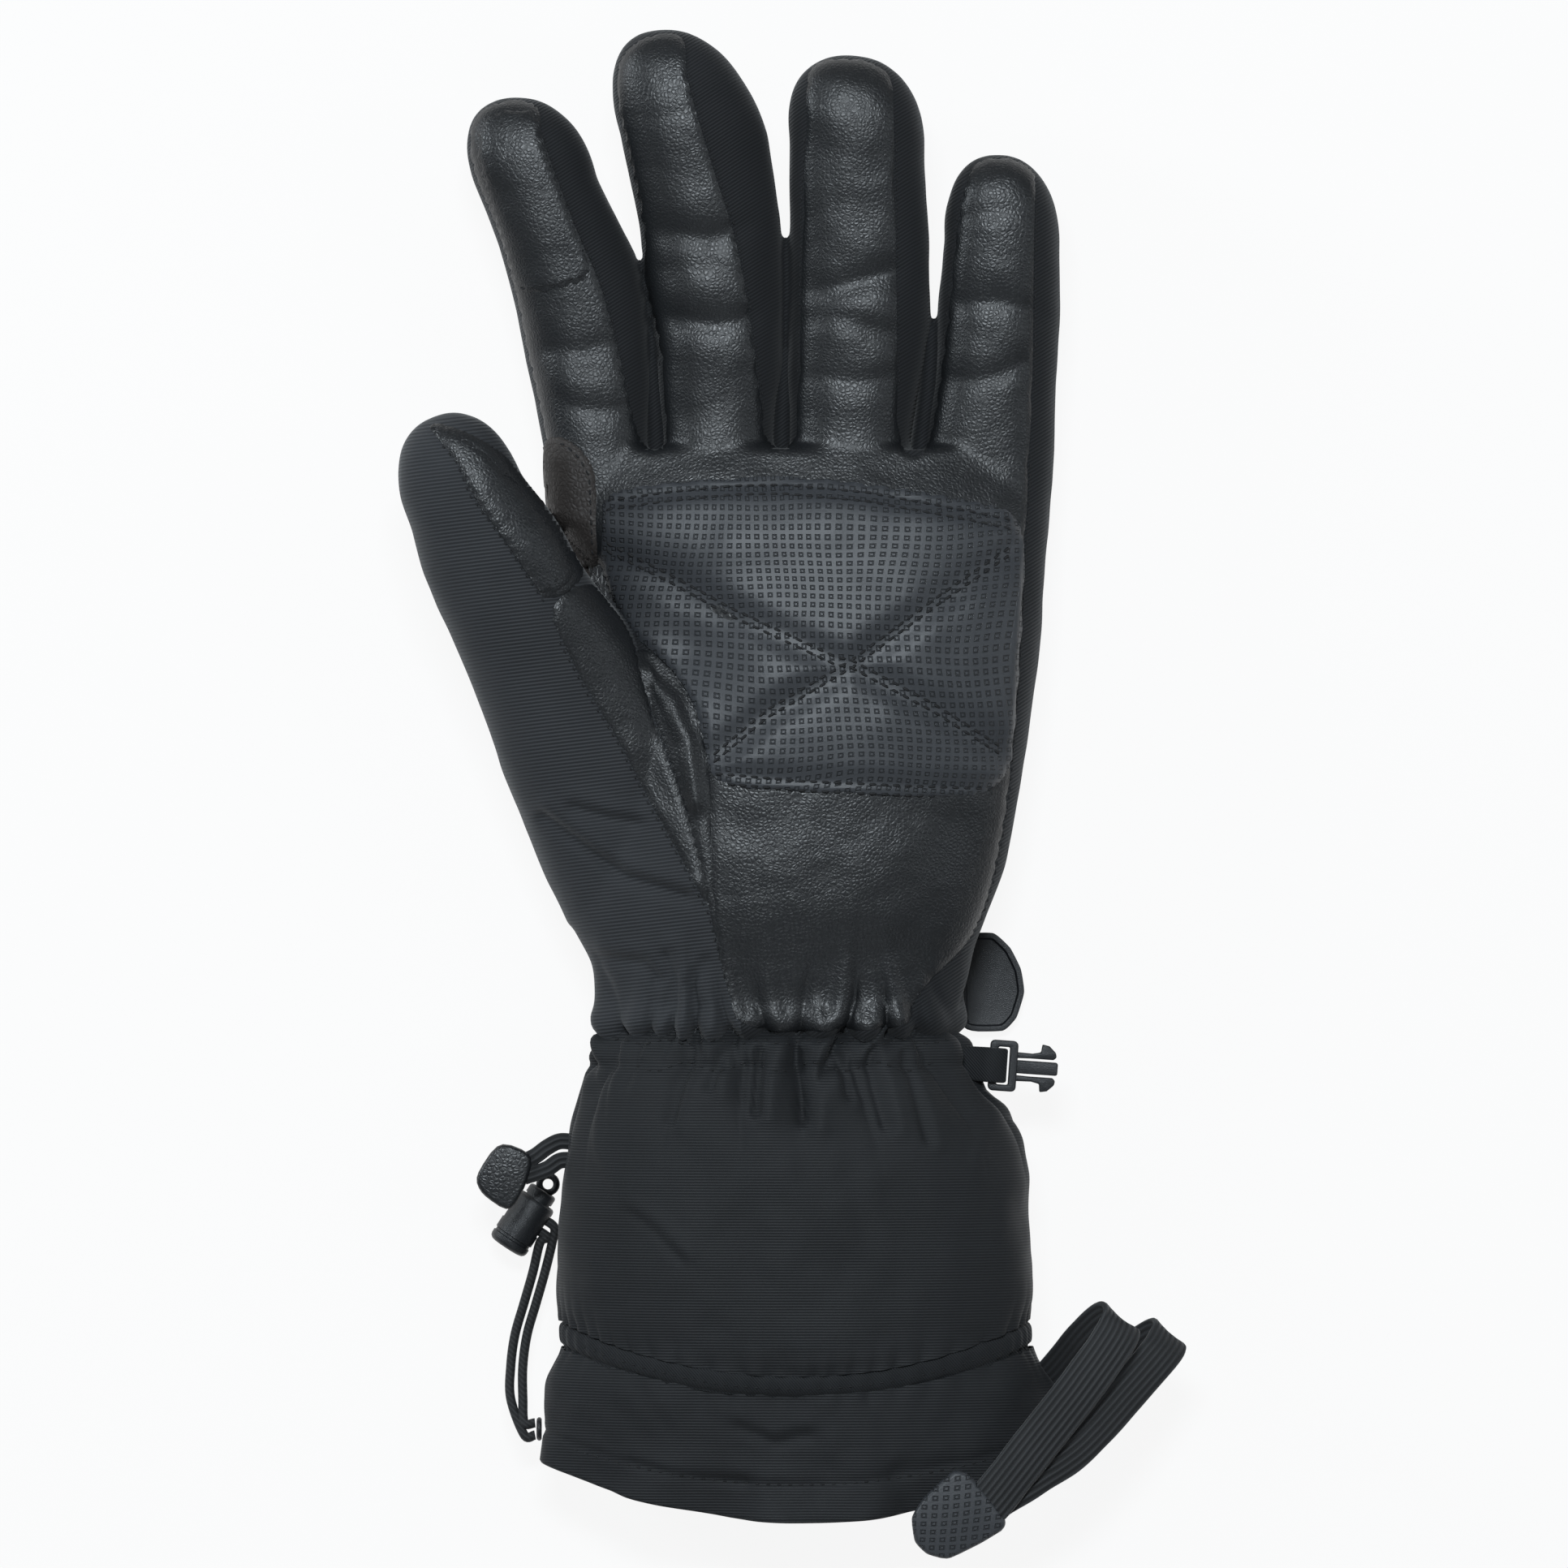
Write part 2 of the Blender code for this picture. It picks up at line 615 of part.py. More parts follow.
def smooth_path(points, steps):
    """Points of a Catmull-Rom curve through the given points."""
    knots = [Vector(point) for point in points]
    knots = [2 * knots[0] - knots[1], *knots, 2 * knots[-1] - knots[-2]]
    spans = len(knots) - 3
    found = []
    for step in range(steps + 1):
        place = min(step * spans / steps, spans - 1e-9)
        i = int(place)
        t = place - i
        a, b, c, d = knots[i:i + 4]
        found.append(0.5 * (2 * b + (c - a) * t + (2 * a - 5 * b + 4 * c - d) * t**2
                            + (3 * b - a - 3 * c + d) * t**3))
    return found


# The hand's surface, for the pieces that lie on it.
def surface_height(surface, x, y):
    """Height of the surface above a point of the XY plane, in millimetres."""
    hit = surface.ray_cast(Vector((x * MM, y * MM, 1.0)), Vector((0, 0, -1)))
    return hit[0].z / MM if hit[0] else 0.0


def split(points, parts):
    """The polyline's points with each stretch cut into equal parts."""
    found = [Vector(points[0])]
    for start, stop in zip(points, points[1:]):
        found += [Vector(start).lerp(Vector(stop), (step + 1) / parts) for step in range(parts)]
    return found


def draped(name, surface, left, right, columns, spec):
    """A patch between two edges, lying on the palm."""
    left, right = split(left, PATCH_SPLIT), split(right, PATCH_SPLIT)
    mesh_data = bmesh.new()
    layers = []
    for lift in (PATCH_LIFT, PATCH_LIFT + PATCH_THICK):
        grid = []
        for start, stop in zip(left, right):
            line = []
            for step in range(columns + 1):
                x = start[0] + (stop[0] - start[0]) * step / columns
                y = start[1] + (stop[1] - start[1]) * step / columns
                line.append(mesh_data.verts.new((x, y, surface_height(surface, x, y) + lift)))
            grid.append(line)
        layers.append(grid)
        strip_faces(mesh_data, grid, False)
    low, high = layers
    strip_faces(mesh_data, [low[0], high[0]], False)
    strip_faces(mesh_data, [low[-1], high[-1]], False)
    strip_faces(mesh_data, [[line[0] for line in low], [line[0] for line in high]], False)
    strip_faces(mesh_data, [[line[-1] for line in low], [line[-1] for line in high]], False)
    return finished(name, mesh_data, spec)


def thumb_frame():
    x, y = THUMB_AXIS
    return placed((*THUMB_JOINT, 0.0), (x, y))


# Hand.
def hand_volume(inset, reach):
    """Palm, finger roots and thumb root as one solid; reach runs it past its open ends."""
    rows = [set_in(row, inset) for row in PALM_ROWS]
    rows[-1] = (rows[-1][0] - reach, *rows[-1][1:])
    rows[0] = (rows[0][0] - inset, *rows[0][1:])
    hand = solid_tube(f"hand_{inset:.1f}", rows, PALM_SIDES)
    for finger in FINGERS.values():
        end = finger["joint"] - SLEEVE_HALF - GAP + reach
        root = solid_tube("root", finger_rows(finger, inset, finger["rows"][0][0], end), FINGER_SIDES)
        carve(hand, root, "UNION")
    end = -SLEEVE_HALF - GAP + reach
    rows = finger_rows(THUMB, inset, THUMB["rows"][0][0], end)
    root = solid_tube("root", rows, FINGER_SIDES, thumb_frame())
    return carve(hand, root, "UNION")


def take(shell, name, outline, spec):
    """Parts the piece of the shell's front inside an outline from the rest, with a gap along the seam."""
    piece = carve(copied(shell, name), prism("cutter", outline, SEAM_HEIGHT, CUT_TOP), "INTERSECT")
    carve(shell, prism("cutter", grown(outline, GAP), SEAM_HEIGHT - GAP, CUT_TOP + 1.0), "DIFFERENCE")
    return whole(piece, spec)


def hand_shell():
    """Cuts the hand's panels and lining and returns the outer surface."""
    reach = 1.0
    outside = hand_volume(0.0, 0.0)
    surface = BVHTree.FromObject(outside, bpy.context.evaluated_depsgraph_get())
    shell = carve(outside, hand_volume(SHELL, reach), "DIFFERENCE")
    take(shell, "palm_leather", PALM_SEAM, BLACK_LEATHER)
    take(shell, "thumb_gusset", GUSSET_SEAM, BLACK_LEATHER)
    take(shell, "thumb_base", THUMB_SEAM, SOFTSHELL)
    for between, (x, y) in CROTCHES.items():
        low = (x - CROTCH_WIDTH / 2, y + CROTCH_SPAN[0], CROTCH_LOW)
        high = (x + CROTCH_WIDTH / 2, y + CROTCH_SPAN[1], CROTCH_TOP)
        wall = carve(copied(shell, f"fourchette_{between}"), box("cutter", low, high), "INTERSECT")
        low = tuple(value - GAP for value in low)
        high = tuple(value + GAP for value in high)
        carve(shell, box("cutter", low, high), "DIFFERENCE")
        whole(wall, SOFTSHELL)
    shell.name = "back_panel"
    whole(shell, SOFTSHELL)
    inset = SHELL + LINING_GAP
    lining = carve(hand_volume(inset, 0.0), hand_volume(inset + LINING, reach), "DIFFERENCE")
    lining.name = "hand_lining"
    whole(lining, LINING_CLOTH)
    return surface


def palm_patches(surface):
    draped("palm_grip_patch", surface, GRIP_LEFT, GRIP_RIGHT, PATCH_COLUMNS, BLACK_LEATHER)
    draped("thumb_crotch_patch", surface, CROTCH_PATCH_LEFT, CROTCH_PATCH_RIGHT, CROTCH_PATCH_COLUMNS,
           BROWN_LEATHER)


# Fingers past their joints.
def finger_seams(name, finger):
    """The front leather's first and last angle: on top for a finger, over the inner side for the thumb."""
    if name == "thumb":
        return (-seam_angle(-finger["seams"][1]), seam_angle(finger["seams"][0]))
    return (seam_angle(finger["seams"][1]), seam_angle(finger["seams"][0]))


def finger_end(name, finger, matrix=None):
    joint = finger["joint"]
    start = joint + SLEEVE_HALF
    outer = finger_rows(finger, 0.0, start)
    inner = finger_rows(finger, SHELL, start)
    first, last = finger_seams(name, finger)
    arc_layer(f"{name}_front", outer, inner, (first, last), ARC_STEPS, BLACK_LEATHER, matrix)
    arc_layer(f"{name}_back", outer, inner, (last, first + 2 * math.pi), ARC_STEPS + 5, SOFTSHELL, matrix)
    around = turn(FINGER_SIDES)
    inset = SHELL + LINING_GAP
    lining_out = [section(row, around) for row in finger_rows(finger, inset, start)]
    lining_in = [section(row, around) for row in finger_rows(finger, inset + LINING, start)]
    layer(f"{name}_lining", lining_out, lining_in, True, LINING_CLOTH, matrix, capped=True)
    rows = finger_rows(finger, 0.0, joint - SLEEVE_HALF, joint + SLEEVE_HALF - GAP)
    ring_layer(f"{name}_knuckle", rows, SHELL + LINING, FINGER_SIDES, SOFTSHELL, matrix=matrix)


def tip_patch(name, finger, start, angles, spec, matrix=None):
    """A second layer of leather on a fingertip."""
    def over(inset):
        return finger_rows(finger, inset, start)[:-1]
    outer, inner = over(-TIP_PATCH_GAP - TIP_PATCH_THICK), over(-TIP_PATCH_GAP)
    arc_layer(name, outer, inner, angles, ARC_STEPS, spec, matrix)


def fingers():
    for name, finger in FINGERS.items():
        finger_end(name, finger)
    finger_end("thumb", THUMB, thumb_frame())
    first, last = finger_seams("index", FINGERS["index"])
    angles = (first + TIP_PATCH_ANGLE, last - TIP_PATCH_ANGLE)
    tip_patch("index_touch_tip", FINGERS["index"], TOUCH_TIP_START, angles, BROWN_LEATHER)
    first, last = finger_seams("thumb", THUMB)
    angles = (first + TIP_PATCH_ANGLE, last - TIP_PATCH_ANGLE)
    tip_patch("thumb_touch_tip", THUMB, THUMB_TIP_START, angles, BROWN_LEATHER, thumb_frame())


# Cuff.
def cuff():
    ring_layer("wrist_gather", WRIST_ROWS, SHELL, CUFF_SIDES, SOFTSHELL)
    inside = [set_in(row, SHELL) for row in GAUNTLET_ROWS]
    for name, span in (("gauntlet_front", (0.0, math.pi)), ("gauntlet_back", (math.pi, 2 * math.pi))):
        arc_layer(name, GAUNTLET_ROWS, inside, span, CUFF_SIDES // 2, RIBBED_NYLON)
    ring_layer("hem_band", BAND_ROWS, SHELL, CUFF_SIDES, SOFTSHELL)
    ring_layer("skirt", SKIRT_ROWS, SHELL, CUFF_SIDES, RIBBED_NYLON)
    inset = SHELL + LINING_GAP
    ring_layer("wrist_lining", WRIST_ROWS, LINING, CUFF_SIDES, LINING_CLOTH, inset=inset)
    ring_layer("gauntlet_lining", GAUNTLET_ROWS, CUFF_LINING, CUFF_SIDES, LINING_CLOTH, inset=inset)


# Wrist strap.
def strap():
    half = STRAP_WIDTH / 2
    flap_low = FLOOR_GAP
    hook_low = flap_low + STRAP_THICK + GAP
    loop_low = hook_low + PAD_THICK + GAP
    strap_low = loop_low + PAD_THICK + GAP
    strap_mid = strap_low + STRAP_THICK / 2
    flap_mid = flap_low + STRAP_THICK / 2
    turn_radius = (strap_mid - flap_mid) / 2
    turn_x = RING_BAR_X
    middle = (strap_mid + flap_mid) / 2
    fold = [(turn_x - turn_radius * math.sin(a), STRAP_Y, middle + turn_radius * math.cos(a))
            for a in (math.pi * step / 6 for step in range(7))]
    path = [(STRAP_END_X, STRAP_Y, strap_mid), *fold, (turn_x + FLAP_GAP, STRAP_Y, flap_mid)]
    ribbon("wrist_strap", path, STRAP_WIDTH, STRAP_THICK, (0, 1, 0), SOFTSHELL)
    flap_x = turn_x + FLAP_GAP + GAP
    tab_x = STRAP_END_X + GAP
    box("strap_flap", (flap_x, STRAP_Y - half, flap_low), (tab_x, STRAP_Y + half, flap_low + STRAP_THICK),
        SOFTSHELL)
    low, high = PAD_SPAN
    wide = PAD_WIDTH / 2
    for name, floor, spec in (("hook_pad", hook_low, ELASTIC), ("loop_pad", loop_low, LINING_CLOTH)):
        box(name, (low, STRAP_Y - wide, floor), (high, STRAP_Y + wide, floor + PAD_THICK), spec)
    strap_ring(middle)
    strap_tab(tab_x + GAP, flap_low)


def strap_ring(height):
    """A rectangular wire ring whose inner bar carries the strap's fold."""
    x_high, x_low = RING_BAR_X + RING_WIRE / 2, RING_BAR_X + RING_WIRE / 2 - RING_LENGTH
    y_low, y_high = STRAP_Y - RING_WIDTH / 2, STRAP_Y + RING_WIDTH / 2
    low, high = height - RING_WIRE / 2, height + RING_WIRE / 2
    ring = box("strap_ring", (x_low, y_low, low), (x_high, y_high, high))
    window = box("cutter", (x_low + RING_WIRE, y_low + RING_WIRE, low - 1),
                 (x_high - RING_WIRE, y_high - RING_WIRE, high + 1))
    carve(ring, window, "DIFFERENCE")
    whole(ring, PLASTIC)
    ring_anchor(x_low + RING_WIRE / 2, height)


def ring_anchor(bar_x, height):
    """A loop of cloth round the ring's outer bar, its two ends sewn under the wrist's side."""
    turn_radius, reach = RING_ANCHOR_TURN, RING_ANCHOR_LENGTH
    bend = [(bar_x + turn_radius * math.sin(a), STRAP_Y, height + turn_radius * math.cos(a))
            for a in (math.pi * step / 6 for step in range(7))]
    ends = [(bar_x - reach, 0.42 * turn_radius), (bar_x - reach / 2, 0.8 * turn_radius)]
    path = [*((x, STRAP_Y, height + up) for x, up in ends), *bend, *((x, STRAP_Y, height - up) for x, up in ends[::-1])]
    ribbon("ring_anchor", path, RING_ANCHOR_WIDTH, RING_ANCHOR_THICK, (0, 1, 0), SOFTSHELL)


def strap_tab(x, low):
    """A D-shaped pull tab with a sunk face, moulded on the flap's end."""
    half = TAB_WIDTH / 2
    middle = STRAP_Y - 0.5

    def d_shape(inset):
        corner = TAB_CORNER - inset
        points = [(x + inset, middle - half + inset), (x + inset, middle + half - inset)]
        for step in range(5):
            angle = math.pi / 2 * (1 - step / 4)
            points.append((x + TAB_LENGTH - inset - corner + corner * math.cos(angle),
                           middle + half - inset - corner + corner * math.sin(angle)))
        for step in range(5):
            angle = -math.pi / 2 * step / 4
            points.append((x + TAB_LENGTH - inset - corner + corner * math.cos(angle),
                           middle - half + inset + corner + corner * math.sin(angle)))
        return points[::-1]

    tab = prism("strap_tab", d_shape(0.0), low, low + TAB_THICK)
    carve(tab, prism("cutter", d_shape(TAB_RIM), low + TAB_THICK - TAB_SINK, low + TAB_THICK + 1), "DIFFERENCE")
    whole(tab, PLASTIC)


# Buckle on its webbing loop.
def buckle():
    length, wide = BUCKLE_FRAME
    slot, slot_wide = BUCKLE_SLOT
    stem, stem_wide = BUCKLE_STEM
    low, high = -BUCKLE_THICK / 2, BUCKLE_THICK / 2
    bar = (length - slot) / 2
    turned = math.radians(BUCKLE_TURN)
    frame = placed(BUCKLE_AT, (math.cos(turned), math.sin(turned)))
    body = box("buckle", (-bar / 2, -wide / 2, low), (length - bar / 2, wide / 2, high), matrix=frame)
    window = box("cutter", (bar / 2, -slot_wide / 2, low - 1), (bar / 2 + slot, slot_wide / 2, high + 1),
                 matrix=frame)
    carve(body, window, "DIFFERENCE")
    start = length - bar / 2 - PRONG_SET_IN
    stem_low, stem_high = low + STEM_SET_IN, high - STEM_SET_IN
    carve(body, box("cutter", (start, -stem_wide / 2, stem_low), (start + stem, stem_wide / 2, stem_high),
                    matrix=frame), "UNION")
    for side in (1, -1):
        prong = [(start + x, y * side) for x, y in PRONG[::-side]]
        carve(body, prism("cutter", prong, low + PRONG_SET_IN, high - PRONG_SET_IN, frame), "UNION")
    whole(body, PLASTIC)
    webbing(bar, frame)


def webbing(bar, frame):
    """A loop of webbing round the buckle's bar, its two ends held in the side seam."""
    clear = max(bar, BUCKLE_THICK) / 2 + WEB_CLEARANCE + WEB_THICK / 2
    seam = (-WEB_LENGTH, 0, WEB_THICK / 2 + GAP / 2)
    swell = (-WEB_LENGTH / 2, 0, clear * 0.8)
    loop = [seam, swell, (-WEB_CLEARANCE, 0, clear)]
    angles = [math.pi * step / 6 for step in range(7)]
    bend = [(clear * math.sin(angle), 0, clear * math.cos(angle)) for angle in angles]
    loop += bend + [(x, y, -z) for x, y, z in (loop[2], swell, seam)]
    ribbon("buckle_webbing", loop, WEB_WIDTH, WEB_THICK, (0, 1, 0), SOFTSHELL, frame)


# Leash and pull loop.
def leash():
    """Two lengths of flat elastic, folded over at the top and sewn one above the other into the tab's edge."""
    for name, path, width in (("leash_upper_strap", LEASH_UPPER, ELASTIC_WIDTH),
                              ("leash_lower_strap", LEASH_LOWER, ELASTIC_WIDTH - 1.0)):
        points = smooth_path(path, LEASH_STEPS)
        ribbon(name, points, width, ELASTIC_THICK, LEASH_ACROSS, ELASTIC)
    prism("leash_tab", LEASH_TAB, LEASH_TAB_LOW, LEASH_TAB_LOW + LEASH_TAB_THICK, spec=BLACK_LEATHER)


def pull_loop():
    start, end = Vector(PULL_START), Vector(PULL_END)
    for name, side in (("pull_strip_upper", 1), ("pull_strip_lower", -1)):
        shift = Vector((0, PULL_SPREAD * side, 0))
        path = [start + shift * 0.9, (start + end) / 2 + shift + Vector((0, 0, 0.4)), end + shift * 0.8]
        ribbon(name, path, PULL_WIDTH, PULL_THICK, (0, 1, 0), ELASTIC)
    mid = PULL_END[2]
    prism("pull_tab", PULL_TAB, mid - PULL_TAB_THICK / 2, mid + PULL_TAB_THICK / 2, spec=BLACK_LEATHER)


# Cord lock and cord.
def lock_frame():
    """Local X runs from the barrel's blind end to its mouth, Z stays up."""
    return placed(LOCK_AT, LOCK_AXIS)


def along_lock(distance, aside=0.0):
    axis = Vector((*LOCK_AXIS, 0)).normalized()
    side = Vector((axis.y, -axis.x, 0))
    return Vector(LOCK_AT) + axis * distance + side * aside


def cord_lock():
    frame = lock_frame()
    along = frame @ Matrix.Rotation(math.pi / 2, 4, "Y")
    half = BARREL_LENGTH / 2
    bore = PLUNGER_RADIUS + LOCK_GAP
    edge = BARREL_EDGE
    profile = [(0, -half), (BARREL_RADIUS - edge, -half), (BARREL_RADIUS, edge - half),
               (BARREL_RADIUS, half - edge), (BARREL_RADIUS - edge / 2, half), (bore, half),
               (bore, BARREL_FLOOR - half), (0, BARREL_FLOOR - half)]
    barrel = lathe("cord_lock_barrel", profile, LATHE_SIDES, None, along)
    slot_half = CORD / 2 + CORD_CLEARANCE
    across = CORD_SPREAD + CORD / 2 + CORD_CLEARANCE
    carve(barrel, box("cutter", (SLOT_UP - across, -20, -slot_half), (SLOT_UP + across, 20, slot_half),
                      matrix=frame), "DIFFERENCE")
    whole(barrel, PLASTIC)
    spring_top = BARREL_FLOOR - half + SPRING_TURNS * 1.0 + 2 * LOCK_GAP + SPRING_WIRE
    top = half + PLUNGER_OUT
    plunger = lathe("cord_lock_plunger", [(0, spring_top), (PLUNGER_RADIUS, spring_top),
                                          (PLUNGER_RADIUS, top - PLUNGER_EDGE),
                                          (PLUNGER_RADIUS - PLUNGER_EDGE, top), (0, top)],
                    LATHE_SIDES, None, along)
    eye = box("cutter", (top - EYE_SUNK, -EYE_SIZE[0] / 2, -EYE_SIZE[1] / 2),
              (top - EYE_SUNK + EYE_SIZE[2], EYE_SIZE[0] / 2, EYE_SIZE[1] / 2), matrix=frame)
    carve(plunger, eye, "UNION")
    hole_at = top - EYE_SUNK + EYE_SIZE[2] * 0.55
    hole = frame @ Matrix.Translation(Vector((hole_at, 0, 0)) * MM)
    drill = lathe("cutter", [(0, -9), (EYE_HOLE, -9), (EYE_HOLE, 9), (0, 9)], 12, None, hole)
    carve(plunger, drill, "DIFFERENCE")
    carve(plunger, box("cutter", (SLOT_UP - across, -20, -slot_half),
                       (SLOT_UP + across + PLUNGER_TRAVEL, 20, slot_half), matrix=frame), "DIFFERENCE")
    whole(plunger, PLASTIC)
    spring(frame, BARREL_FLOOR - half + LOCK_GAP + SPRING_WIRE / 2, spring_top - LOCK_GAP - SPRING_WIRE / 2)


def spring(frame, start, stop):
    """A coil spring between the barrel's floor and the plunger."""
    points = []
    for step in range(int(SPRING_TURNS * SPRING_STEPS) + 1):
        angle = 2 * math.pi * step / SPRING_STEPS
        share = step / (SPRING_TURNS * SPRING_STEPS)
        point = Vector((start + (stop - start) * share, SPRING_RADIUS * math.cos(angle),
                        SPRING_RADIUS * math.sin(angle)))
        points.append(frame @ (point * MM))
    pitch = (stop - start) / SPRING_TURNS - SPRING_WIRE
    print(f"cord lock spring: least gap between its turns {pitch:.2f} mm")
    tube("cord_lock_spring", points, SPRING_WIRE, 1, STEEL)


def tube(name, points, diameter, resolution, spec):
    """A round cord or wire along points given in metres."""
    curve = bpy.data.curves.new(name, "CURVE")
    curve.dimensions = "3D"
    curve.bevel_depth = diameter / 2 * MM
    curve.bevel_resolution = resolution
    curve.use_fill_caps = True
    spline = curve.splines.new("POLY")
    spline.points.add(len(points) - 1)
    for knot, point in zip(spline.points, points):
        knot.co = (*point, 1.0)
    curve.materials.append(material(spec))
    obj = bpy.data.objects.new(name, curve)
    bpy.context.scene.collection.objects.link(obj)
    return obj


def cord():
    """The drawcord from its eyelet to the lock and back."""
    lock_side = [along_lock(SLOT_UP - CORD_SPREAD, a) for a in CORD_IN_LOCK]
    lock_back = [along_lock(SLOT_UP + CORD_SPREAD, a) for a in CORD_IN_LOCK]
    start = Vector(EYELET_AT) + Vector((-EYELET_THICK / 2 - CORD_CLEARANCE, -CORD_SPREAD, 0))
    stop = Vector(EYELET_AT) + Vector((-EYELET_THICK / 2 - CORD_CLEARANCE, CORD_SPREAD, 0))
    strand = [Vector(point) for point in CORD_MIDDLE]
    side = Vector((CORD_SPREAD, 0, 0))
    lead = Vector((-CORD_LEAD, 0, 0))
    up = [start, start + lead, *(point - side for point in strand[::-1]), *lock_side[::-1]]
    down = [*lock_back, *(point + side for point in strand), stop + lead, stop]
    bend = [along_lock(SLOT_UP, CORD_IN_LOCK[0] - CORD_SPREAD)]
    route = smooth_path([*up, *bend, *down], CORD_STEPS * 2)
    length = sum((b - a).length for a, b in zip(route, route[1:]))
    print(f"drawcord: {length:.0f} mm long")
    tube("drawcord", [point * MM for point in route], CORD, 2, ELASTIC)
    lathe("hem_eyelet", [(0, -EYELET_THICK / 2), (EYELET_RADIUS, -EYELET_THICK / 2),
                         (EYELET_RADIUS, EYELET_THICK / 2), (0, EYELET_THICK / 2)], 16, PLASTIC,
          placed(EYELET_AT, (0, 1), (1, 0, 0)))


def hang(name, at, nodes):
    """Parents the nodes to an empty at a point in millimetres, leaving them where they are."""
    empty = bpy.data.objects.new(f"{name}_axis", None)
    empty.empty_display_size = 10 * MM
    empty.location = Vector(at) * MM
    bpy.context.scene.collection.objects.link(empty)
    for node in nodes:
        bpy.data.objects[node].parent = empty
        bpy.data.objects[node].matrix_parent_inverse = Matrix.Translation(-Vector(at) * MM)


def hang_moving_pieces():
    for name, height in KNUCKLE_HEIGHTS.items():
        place = THUMB_JOINT if name == "thumb" else (KNUCKLE_X[name], FINGERS[name]["joint"])
        caps = [f"{name}_touch_tip"] if name in ("index", "thumb") else []
        hang(f"{name}_curl", (*place, height), [f"{name}_front", f"{name}_back", f"{name}_lining", *caps])
    hang("strap_peel", PEEL_AT, ["strap_flap", "hook_pad", "strap_tab"])
    hang("buckle_swing", BUCKLE_AT, ["buckle"])
    hang("cord_lock_press", LOCK_AT, ["cord_lock_plunger"])
    hang("leash_swing", LEASH_SWING_AT, ["leash_upper_strap", "leash_lower_strap", "leash_tab"])
    hang("pull_loop_swing", PULL_START, ["pull_strip_upper", "pull_strip_lower", "pull_tab"])


def glove():
    clear_scene()
    palm_patches(hand_shell())
    fingers()
    cuff()
    strap()
    buckle()
    leash()
    pull_loop()
    cord_lock()
    cord()
    hang_moving_pieces()


glove()
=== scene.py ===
import math

import bmesh
import bpy
import numpy as np
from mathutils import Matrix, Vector, noise
from mathutils.bvhtree import BVHTree


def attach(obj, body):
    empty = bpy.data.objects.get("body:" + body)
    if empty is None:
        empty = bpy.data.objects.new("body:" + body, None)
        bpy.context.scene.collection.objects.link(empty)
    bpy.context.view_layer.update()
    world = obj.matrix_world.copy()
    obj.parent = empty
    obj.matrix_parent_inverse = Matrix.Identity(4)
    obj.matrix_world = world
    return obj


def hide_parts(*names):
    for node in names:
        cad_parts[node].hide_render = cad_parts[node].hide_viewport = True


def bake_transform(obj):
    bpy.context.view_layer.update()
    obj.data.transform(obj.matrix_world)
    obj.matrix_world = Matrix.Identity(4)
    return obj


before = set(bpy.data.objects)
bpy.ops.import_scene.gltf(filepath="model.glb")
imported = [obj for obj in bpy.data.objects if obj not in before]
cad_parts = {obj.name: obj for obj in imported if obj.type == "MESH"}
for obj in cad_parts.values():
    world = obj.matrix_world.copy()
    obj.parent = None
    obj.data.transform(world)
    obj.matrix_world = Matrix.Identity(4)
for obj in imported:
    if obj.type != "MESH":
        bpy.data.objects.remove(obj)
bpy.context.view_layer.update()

MM = 0.001

# Studio: a white floor under the glove, a camera straight above it with a long lens, and four soft lamps.
# The floor looks white to the camera and to gloss, and keeps a faint shadow of the glove.
FLOOR_SIDE = 40.0
FLOOR_GAP = 0.0006
WHITE_SHARE = 0.9
CHALK = (0.9, 0.9, 0.9, 1)
WORLD_LIGHT = 0.11
LAMP_COLOUR = (0.86, 0.94, 1.0)


def node(tree, kind, inputs, **settings):
    """A shader node with its settings; each input is a value or another node's output."""
    made = tree.nodes.new(f"ShaderNode{kind}")
    for label, value in settings.items():
        setattr(made, label, value)
    for label, value in inputs.items():
        if isinstance(value, bpy.types.NodeSocket):
            tree.links.new(value, made.inputs[label])
        else:
            made.inputs[label].default_value = value
    return made


def math_node(tree, operation, first, second=0.0):
    return node(tree, "Math", {0: first, 1: second}, operation=operation).outputs[0]


def linked(name, data):
    made = bpy.data.objects.new(name, data)
    bpy.context.scene.collection.objects.link(made)
    return made


bpy.ops.object.select_all(action="DESELECT")
bpy.ops.mesh.primitive_plane_add(size=FLOOR_SIDE, location=(0, 0, -FLOOR_GAP))
floor = bpy.context.object
floor.name = "floor"
white = bpy.data.materials.new("white_floor")
white.use_nodes = True
tree = white.node_tree
tree.nodes.remove(tree.nodes["Principled BSDF"])
path = node(tree, "LightPath", {}).outputs
seen = math_node(tree, "MAXIMUM", path["Is Camera Ray"], path["Is Glossy Ray"])
seen = math_node(tree, "MAXIMUM", seen, path["Is Transmission Ray"])
share = math_node(tree, "MULTIPLY", seen, WHITE_SHARE)
chalk = node(tree, "BsdfDiffuse", {"Color": CHALK})
glow = node(tree, "Emission", {"Strength": 1.0})
both = node(tree, "MixShader", {0: share, 1: chalk.outputs[0], 2: glow.outputs[0]})
tree.links.new(both.outputs[0], tree.nodes["Material Output"].inputs[0])
floor.data.materials.append(white)

world = bpy.data.worlds.new("studio")
bpy.context.scene.world = world
world.use_nodes = True
world.node_tree.nodes["Background"].inputs[0].default_value = (1, 1, 1, 1)
world.node_tree.nodes["Background"].inputs[1].default_value = WORLD_LIGHT


